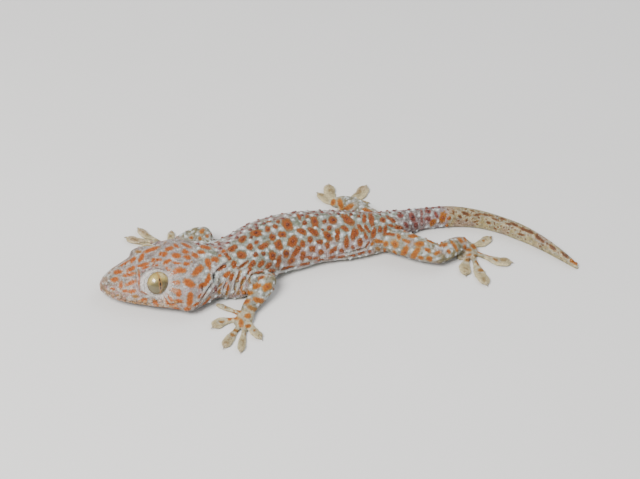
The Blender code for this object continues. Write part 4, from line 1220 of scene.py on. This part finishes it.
def thinned(places, gap, random):
    """The numbers of places that are kept so that none lies within another's gap."""
    tree = kd_of(places)
    covered = np.zeros(len(places), bool)
    kept = []
    spots = places.tolist()
    for number in random.permutation(len(places)).tolist():
        if covered[number]:
            continue
        kept.append(number)
        for item in tree.find_range(spots[number], gap[number]):
            covered[item[1]] = True
    return np.array(kept)


def lie_of(points, labels):
    """The way the scales point: back along the body, and out along each leg."""
    heading = SPINE_LINE.place_of(points)[2]
    lie = np.concatenate([heading, np.zeros((len(points), 1))], axis=1)
    for name, leg in LEG_OF_NODE.items():
        chosen = labels == FLESH.index(name)
        if chosen.any():
            lie[chosen, :2] = LEG_LINE[leg].place_of(points[chosen])[2]
    head = among(labels, HEAD_NODES)
    lie[head] = head_vector(1.0, 0.0, 0.0)
    return lie


def scale_gaps(points, normals, labels, place):
    """How far apart the scales stand at each point."""
    head = among(labels, HEAD_NODES)
    gap = by_region(labels, SCALE_GAPS)
    gap += among(labels, TRUNK_NODES) * smoothstep(-0.1, -0.5, normals[:, 2]) * BELLY_GAP
    gap += head * SNOUT_GAP * smoothstep(18.0, 6.0, place[:, 0])
    for side in (1, -1):
        away = round_eye(points, side)[0]
        gap -= smoothstep(EYE["radius"] + 3.0, EYE["radius"] + 0.8, away) * head * EYE_GAP
    return gap


class Unwrap:
    """A coarse copy of the skin, unwrapped, from which any place takes its coordinates."""

    def __init__(self, points, quads):
        fine = mesh_from("skin_copy", points, [quads])
        coarse, faces, _ = voxel_arrays(fine, COARSE_VOXEL)
        bpy.data.objects.remove(fine)
        copy = mesh_from("coarse_copy", coarse, [faces])
        bpy.context.view_layer.objects.active = copy
        copy.select_set(True)
        bpy.ops.object.mode_set(mode="EDIT")
        bpy.ops.mesh.select_all(action="SELECT")
        bpy.ops.uv.smart_project(angle_limit=1.15, island_margin=0.004, scale_to_bounds=True)
        bpy.ops.object.mode_set(mode="OBJECT")
        triangles = halved(read(copy.data.loops, "vertex_index", 1, int).reshape(-1, 4))
        self.corners = coarse[triangles]
        self.uv = halved(read(copy.data.uv_layers.active.data, "uv", 2).reshape(-1, 4, 2))
        bpy.data.objects.remove(copy)
        self.tree = surface_of(coarse, triangles)

    def nearest(self, places):
        return np.array([self.tree.find_nearest(place)[2] for place in places.tolist()])

    def coordinates(self, found, places):
        """Coordinates of places, carried on flat from the triangles found for them."""
        corner = self.corners[found]
        first = corner[:, 1] - corner[:, 0]
        second = corner[:, 2] - corner[:, 0]
        away = places - corner[:, 0]
        aa = np.sum(first * first, axis=1)
        ab = np.sum(first * second, axis=1)
        bb = np.sum(second * second, axis=1)
        pa = np.sum(away * first, axis=1)
        pb = np.sum(away * second, axis=1)
        below = np.maximum(aa * bb - ab * ab, 1e-12)
        u = (bb * pa - ab * pb) / below
        v = (aa * pb - ab * pa) / below
        uv = self.uv[found]
        return uv[:, 0] + u[:, None] * (uv[:, 1] - uv[:, 0]) + v[:, None] * (uv[:, 2] - uv[:, 0])

    def at(self, places):
        return self.coordinates(self.nearest(places), places)


# Materials, all made from nodes.


class Graph:
    """A material's nodes, with short calls for what is used here."""

    def __init__(self, name):
        self.material = bpy.data.materials.new(name)
        self.material.use_nodes = True
        self.nodes = self.material.node_tree.nodes
        self.links = self.material.node_tree.links
        self.shader = self.nodes["Principled BSDF"]

    def put(self, value, socket):
        if isinstance(value, bpy.types.NodeSocket):
            self.links.new(value, socket)
        else:
            socket.default_value = value

    def math(self, operation, *values):
        node = self.nodes.new("ShaderNodeMath")
        node.operation = operation
        for number, value in enumerate(values):
            self.put(value, node.inputs[number])
        return node.outputs[0]

    def mix(self, share, first, second, blend="MIX"):
        node = self.nodes.new("ShaderNodeMix")
        node.data_type = "RGBA"
        node.blend_type = blend
        self.put(share, node.inputs[0])
        self.put(first, node.inputs[6])
        self.put(second, node.inputs[7])
        return node.outputs[2]

    def noise(self, scale, detail=3.0, distortion=0.0):
        node = self.nodes.new("ShaderNodeTexNoise")
        for name, value in (("Scale", scale), ("Detail", detail), ("Distortion", distortion)):
            node.inputs[name].default_value = value
        self.put(self.place(), node.inputs["Vector"])
        return node.outputs[0]

    def place(self):
        node = self.nodes.get("place")
        if node is None:
            node = self.nodes.new("ShaderNodeTexCoord")
            node.name = "place"
        return node.outputs["Object"]

    def between(self, value, low, high, to_low, to_high):
        node = self.nodes.new("ShaderNodeMapRange")
        for number, part in enumerate((value, low, high, to_low, to_high)):
            self.put(part, node.inputs[number])
        return node.outputs[0]

    def markings(self):
        node = self.nodes.new("ShaderNodeAttribute")
        node.attribute_name = "Markings"
        return node.outputs["Color"]

    def bump(self, height, strength, distance):
        node = self.nodes.new("ShaderNodeBump")
        node.inputs["Strength"].default_value = strength
        node.inputs["Distance"].default_value = distance
        self.put(height, node.inputs["Height"])
        self.links.new(node.outputs[0], self.shader.inputs["Normal"])

    def set(self, **values):
        for name, value in values.items():
            self.put(value, self.shader.inputs[name.replace("_", " ")])

    def uneven(self, scale, low, high):
        """A value that wanders from low to high."""
        return self.between(self.noise(scale), 0.3, 0.7, low, high)


def hide_material(name, roughness, bump_scale, bump_strength):
    """Skin or scales: the markings, faintly mottled, with an uneven gloss and a fine grain."""
    graph = Graph(name)
    graph.set(Base_Color=graph.mix(1.0, graph.markings(), graph.uneven(900.0, 0.9, 1.08), "MULTIPLY"))
    graph.set(Roughness=graph.uneven(420.0, *roughness))
    graph.bump(graph.noise(bump_scale, 4.0), bump_strength, 0.0002)
    return graph.material


def eye_material():
    """An iris of olive gold, lighter at the top as a painted reflection, with fine dark veins, a scalloped
    upright slit and a wet gloss.
    """
    graph = Graph("gecko_eye")
    split = graph.nodes.new("ShaderNodeSeparateXYZ")
    graph.links.new(graph.place(), split.inputs[0])
    scale = 1.0 / (EYE["radius"] * MM)
    x = graph.math("MULTIPLY", split.outputs[0], scale)
    y = graph.math("MULTIPLY", split.outputs[1], scale)
    gold, olive, dark, slit_edge = (tuple(linear(colour)) + (1.0,) for colour in IRIS.values())
    x_squared = graph.math("POWER", x, 2.0)
    # Olive below and gold above: the iris's own colours, laid out as a painted reflection that lights its
    # upper half.
    bowed = graph.math("ADD", y, graph.math("MULTIPLY", x_squared, 0.35))
    colour = graph.mix(graph.between(bowed, 0.12, 0.42, 0.0, 1.0), olive, gold)
    veins = graph.noise(620.0, 5.0, distortion=1.6)
    thin = graph.between(graph.math("ABSOLUTE", graph.math("SUBTRACT", veins, 0.5)), 0.0, 0.05, 1.0, 0.0)
    colour = graph.mix(graph.math("MULTIPLY", thin, 0.6), colour, dark)
    rim = graph.math("SQRT", graph.math("ADD", x_squared, graph.math("POWER", y, 2.0)))
    colour = graph.mix(graph.between(rim, 0.74, 0.9, 0.0, 0.75), colour, dark)
    share = graph.math("POWER", graph.math("DIVIDE", y, SLIT_LENGTH), 2.0)
    taper = graph.math("SQRT", graph.math("MAXIMUM", graph.math("SUBTRACT", 1.0, share), 0.0))
    lobes = graph.math("ABSOLUTE", graph.math("COSINE", graph.math("MULTIPLY", y, 9.4)))
    width = graph.math("MULTIPLY", taper, graph.between(lobes, 0.0, 1.0, 0.018, 0.075))
    past = graph.math("SUBTRACT", graph.math("ABSOLUTE", x), width)
    colour = graph.mix(graph.between(past, 0.0, 0.12, 0.85, 0.0), colour, slit_edge)
    colour = graph.mix(graph.between(past, -0.012, 0.008, 1.0, 0.0), colour, SLIT_BLACK)
    graph.set(Base_Color=colour, Coat_Weight=1.0, Coat_Roughness=0.03)
    graph.set(Roughness=graph.between(veins, 0.3, 0.7, 0.25, 0.4))
    graph.bump(veins, 0.12, 0.0001)
    return graph.material


def floor_material():
    graph = Graph("studio_floor")
    graph.set(Base_Color=graph.mix(graph.noise(6.0), *FLOOR_TONES))
    graph.set(Roughness=graph.uneven(40.0, 0.7, 0.85))
    return graph.material


def claw_material():
    graph = Graph("gecko_claw")
    graph.set(Base_Color=graph.mix(1.0, graph.markings(), graph.uneven(2600.0, 0.8, 1.1), "MULTIPLY"))
    graph.set(Roughness=graph.uneven(900.0, 0.28, 0.42))
    return graph.material


def make_face_plates(material):
    """Plates along the lips, a raised rim round each nostril and a fringe on each eyelid."""
    back = head_vector(1.0, 0.0, 0.0)
    rows = []
    for side in (1, -1):
        inward = Vector(-head_vector(0.0, side, 0.0))
        for level, size in LIP_PLATES:
            for u in np.arange(2.2, 31.0, LIP_SPACING):
                z = mouth_height(u) + level
                hit = skin_tree.ray_cast(Vector(head_point(u, side * 30.0, z)), inward)
                if hit[0] is not None and z > 0.5:
                    rows.append((hit[0], back, size, 0.24, "lips"))
        for k in range(NOSTRIL_PLATES):
            turn = 2.0 * math.pi * k / NOSTRIL_PLATES
            hit = skin_tree.find_nearest(Vector(head_point(
                NOSTRIL["u"] + 1.1 * math.cos(turn), side * NOSTRIL["v"], NOSTRIL["z"] + 1.1 * math.sin(turn)
            )))
            rows.append((hit[0], back, (0.42, 0.36), 0.22, "highlight"))
        centre, gaze = eye_frame(side)
        across, upright = across_gaze(gaze)
        opening = math.radians(EYE["open"] + 2.5)
        for k in range(FRINGE):
            turn = 2.0 * math.pi * k / FRINGE
            flat = math.cos(turn) * across + math.sin(turn) * upright
            outward = math.cos(opening) * gaze + math.sin(opening) * flat
            place = Vector(centre + (EYE["radius"] + 0.62) * outward)
            lie = -math.sin(opening) * gaze + math.cos(opening) * flat
            rows.append((place, lie, (0.34, 0.28), 0.2, "eye_ring"))
    for z, size in SNOUT_PLATES:
        hit = skin_tree.ray_cast(Vector(head_point(-12.0, 0.0, z)), Vector(back))
        if hit[0] is not None:
            rows.append((hit[0], np.array([0.0, 0.0, 1.0]), size, 0.25, "lips"))
    places, lies, sizes, heights, tones = zip(*rows)
    centre = np.array(places)
    normal = np.array([skin_tree.find_nearest(place)[1] for place in places])
    along, across = np.array(sizes).T
    near = np.array([points_tree.find(spot)[1] for spot in centre.tolist()])
    own = np.array([linear(GROUND[tone]) for tone in tones])
    colours = own * PLATE_OWN_COLOUR + markings[near] * (1.0 - PLATE_OWN_COLOUR)
    lie = laid_on(np.array(lies), normal)
    phase = np.zeros(len(rows))
    shape = domes(centre, normal, lie, along, across, np.array(heights), PLATE_RINGS, PLATE_SIDES, phase)
    coat_piece("face_plates", shape, colours, unwrap.at(centre), material)


def make_eyes(material):
    for side, name in ((1, "eye_left"), (-1, "eye_right")):
        centre, gaze = eye_frame(side)
        bm = bmesh.new()
        bmesh.ops.create_uvsphere(bm, u_segments=64, v_segments=40, radius=EYE["radius"] * MM)
        ball = object_of(bm, name + "_ball", material)
        ball.data.shade_smooth()
        turn = Matrix((*across_gaze(gaze), gaze)).transposed()
        ball.matrix_world = Matrix.Translation(Vector(centre * MM)) @ turn.to_4x4()
        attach(ball, "root")
        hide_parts(name)


def make_claws(material):
    """A short curved claw on every toe but the inmost of each foot."""
    sides, rings = CLAW["sides"], CLAW["rings"]
    pale, deep = linear(CLAW["root"]), linear(CLAW["tip"])
    points = []
    quads = []
    colours = []
    for toes in FEET.values():
        for _, pad, tip, _ in toes[1:]:
            heading = unit(np.array(tip) - np.array(pad))
            forward = np.array([heading[0], heading[1], 0.0])
            left = np.array([-heading[1], heading[0], 0.0])
            base = len(points)
            for ring in range(rings):
                share = ring / (rings - 1)
                bend = math.radians(CLAW["bends"][0] + CLAW["bends"][1] * share)
                place = np.array([tip[0], tip[1], CLAW["z"]])
                place += forward * (CLAW["from"] + CLAW["length"] * share)
                place[2] += 0.22 * math.sin(math.pi * share) - CLAW["drop"] * share * share
                axis = forward * math.cos(bend) - np.array([0.0, 0.0, math.sin(bend)])
                upright = np.cross(axis, left)
                radius = CLAW["radius"] * (1.0 - share) ** 0.7 + 0.05
                for k in range(sides):
                    angle = 2.0 * math.pi * k / sides
                    out = 0.75 * math.cos(angle) * left + math.sin(angle) * upright
                    points.append(place + radius * out)
                    colours.append(pale + (deep - pale) * share)
            quads.append(base + tube_quads(rings, sides))
    points = np.array(points)
    points[:, 2] = np.maximum(points[:, 2], LOWEST)
    obj = mesh_from("claws", points, [np.concatenate(quads)], np.array(colours), None, material)
    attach(obj, "root")


def make_stage():
    bm = bmesh.new()
    bmesh.ops.create_grid(bm, x_segments=8, y_segments=8, size=FLOOR_HALF_WIDTH)
    floor = object_of(bm, "floor", floor_material())
    world = bpy.data.worlds.new("studio")
    world.use_nodes = True
    background = world.node_tree.nodes["Background"]
    background.inputs["Color"].default_value = SKY_COLOUR
    background.inputs["Strength"].default_value = WORLD_LIGHT
    bpy.context.scene.world = world
    for name, place, size, power, colour in LIGHTS:
        data = bpy.data.lights.new(name, "AREA")
        data.energy = power
        data.size = size
        data.color = colour
        light = link(bpy.data.objects.new(name, data))
        light.location = place
        light.rotation_euler = (-Vector(place)).to_track_quat("-Z", "Y").to_euler()


# Everything is made from here on, in order.
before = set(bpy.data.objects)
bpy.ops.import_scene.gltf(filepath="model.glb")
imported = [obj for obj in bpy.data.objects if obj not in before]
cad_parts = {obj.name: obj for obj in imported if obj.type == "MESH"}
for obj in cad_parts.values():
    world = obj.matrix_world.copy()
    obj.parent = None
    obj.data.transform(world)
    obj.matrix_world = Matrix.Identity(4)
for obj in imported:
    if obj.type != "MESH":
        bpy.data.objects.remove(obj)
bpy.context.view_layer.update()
make_camera()
random = np.random.default_rng(SEED)

points, quads, labels = make_skin()
normals = vertex_normals(points, quads)
place = head_place(points)
on_head = among(labels, HEAD_NODES + ("neck",))
points = points + normals * (shape_head(points, normals, place) * on_head)[:, None]
points = pulled(points, normals)
folds = crease_moves(points, surface_of(points, quads))
points = points + normals * folds[:, None]
points = shape_eyes(points)
points[:, 2] = np.maximum(points[:, 2], LOWEST)
normals = vertex_normals(points, quads)
skin_tree = surface_of(points, quads)
points_tree = kd_of(points)

seen = seen_points(points, normals, skin_tree)
markings, bosses = skin_markings(points, normals, labels, seen, skin_tree)
raised = smoothstep(0.05, 0.25, folds)[:, None]
sunken = smoothstep(-0.1, -0.5, folds)[:, None]
markings = markings + (linear(GROUND["highlight"]) - markings) * RIDGE_LIGHT * raised
markings = markings * (1.0 - CREASE_SHADE * sunken)

unwrap = Unwrap(points, quads)
found = np.repeat(unwrap.nearest(points[quads].mean(axis=1)), 4)
corner_uv = unwrap.coordinates(found, points[quads.ravel()])
skin_material = hide_material("gecko_skin", (0.4, 0.6), 5200.0, 0.25)
skin = mesh_from("skin", points, [quads], markings * SKIN_SHADE, corner_uv, skin_material)
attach(skin, "root")
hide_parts(*FLESH)

# The larger round tubercles, most of them in the middle of a spot.
bosses = [boss for boss in bosses if boss[0] in ("body", "rust", "root", "leg", "pale")]
random.shuffle(bosses)
boss_places = np.array([boss[1] for boss in bosses])
kept = thinned(boss_places, np.full(len(boss_places), TUBERCLE["gap"]), random)
boss_pale = np.array([bosses[k][0] == "pale" for k in kept])
boss_near = np.array([points_tree.find(spot)[1] for spot in boss_places[kept].tolist()])
fits = (points[boss_near, 2] > TUBERCLE["lowest"]) & ~among(labels[boss_near], HEAD_NODES + FOOT_NODES)
boss_near, boss_pale = boss_near[fits], boss_pale[fits]
boss_places, boss_normals = points[boss_near], normals[boss_near]
boss_size = TUBERCLE["radius"] * random.uniform(*TUBERCLE["spread"], len(boss_near))
boss_size *= np.where(among(labels[boss_near], LIMB_NODES), TUBERCLE["limb"], 1.0)
boss_size *= np.where(boss_pale, TUBERCLE["pale"], 1.0)

# The small scales: even random places, without those in the eyes and under tubercles.
places, place_normals, nearest = scattered(points, quads, normals, PLACES_PER_AREA, random)
gaps = scale_gaps(points, normals, labels, place)[nearest]
clear = np.ones(len(places), bool)
for side in (1, -1):
    distance, _, angle = round_eye(places, side)
    clear &= (np.degrees(angle) >= EYE["open"] + EYE_CLEAR[0]) | (distance >= EYE_CLEAR[1])
boss_tree = kd_of(boss_places)
for number, spot in enumerate(places.tolist()):
    _, boss, distance = boss_tree.find(spot)
    clear[number] &= distance >= TUBERCLE["clear"] * boss_size[boss]
clear = np.flatnonzero(clear)
clear = clear[thinned(places[clear], gaps[clear], random)]
places, place_normals, nearest, gaps = places[clear], place_normals[clear], nearest[clear], gaps[clear]
near_tree = kd_of(places)
widths = np.array(
    [np.mean([item[2] for item in near_tree.find_n(spot, 6)[1:]]) for spot in places.tolist()]
)
lie = laid_on(lie_of(places, labels[nearest]), place_normals)
half = np.clip(widths, gaps * 0.8, gaps * 1.6) * 0.5
uv_at = unwrap.at(places)
tones = markings[nearest] * random.uniform(*SCALE["tones"], (len(places), 1))
scale_material = hide_material("gecko_scales", (0.34, 0.52), 7000.0, 0.12)
left = SPINE_LINE.place_of(places)[1] >= 0.0
owners = labels[nearest]
groups = {
    "scales_head": among(owners, HEAD_NODES),
    "scales_trunk_left": among(owners, TRUNK_NODES) & left,
    "scales_trunk_right": among(owners, TRUNK_NODES) & ~left,
    "scales_tail": among(owners, TAIL_NODES),
    "scales_legs": among(owners, LIMB_NODES),
    "scales_feet": among(owners, FOOT_NODES),
}
for name, chosen in groups.items():
    size = half[chosen]
    shape = domes(
        places[chosen], place_normals[chosen], lie[chosen],
        size * SCALE["length"], size * SCALE["width"], size * SCALE["height"],
        SCALE_RINGS, SCALE["sides"], random.uniform(0.0, 1.05, len(size)),
    )
    coat_piece(name, shape, tones[chosen], uv_at[chosen], scale_material)

shape = domes(
    boss_places, boss_normals, laid_on(lie_of(boss_places, labels[boss_near]), boss_normals),
    boss_size * TUBERCLE["length"], boss_size * TUBERCLE["width"], boss_size * TUBERCLE["height"],
    TUBERCLE_RINGS, TUBERCLE["sides"], random.uniform(0.0, 0.6, len(boss_size)),
)
boss_tones = markings[boss_near].copy()
pale, pale_share = TUBERCLE_PALE
boss_tones[boss_pale] = pale_share * linear(pale) + (1.0 - pale_share) * boss_tones[boss_pale]
boss_tones[~boss_pale] *= TUBERCLE_DARK
coat_piece("tubercles", shape, boss_tones, unwrap.at(boss_places), scale_material)
make_face_plates(scale_material)

make_eyes(eye_material())
make_claws(claw_material())
make_stage()
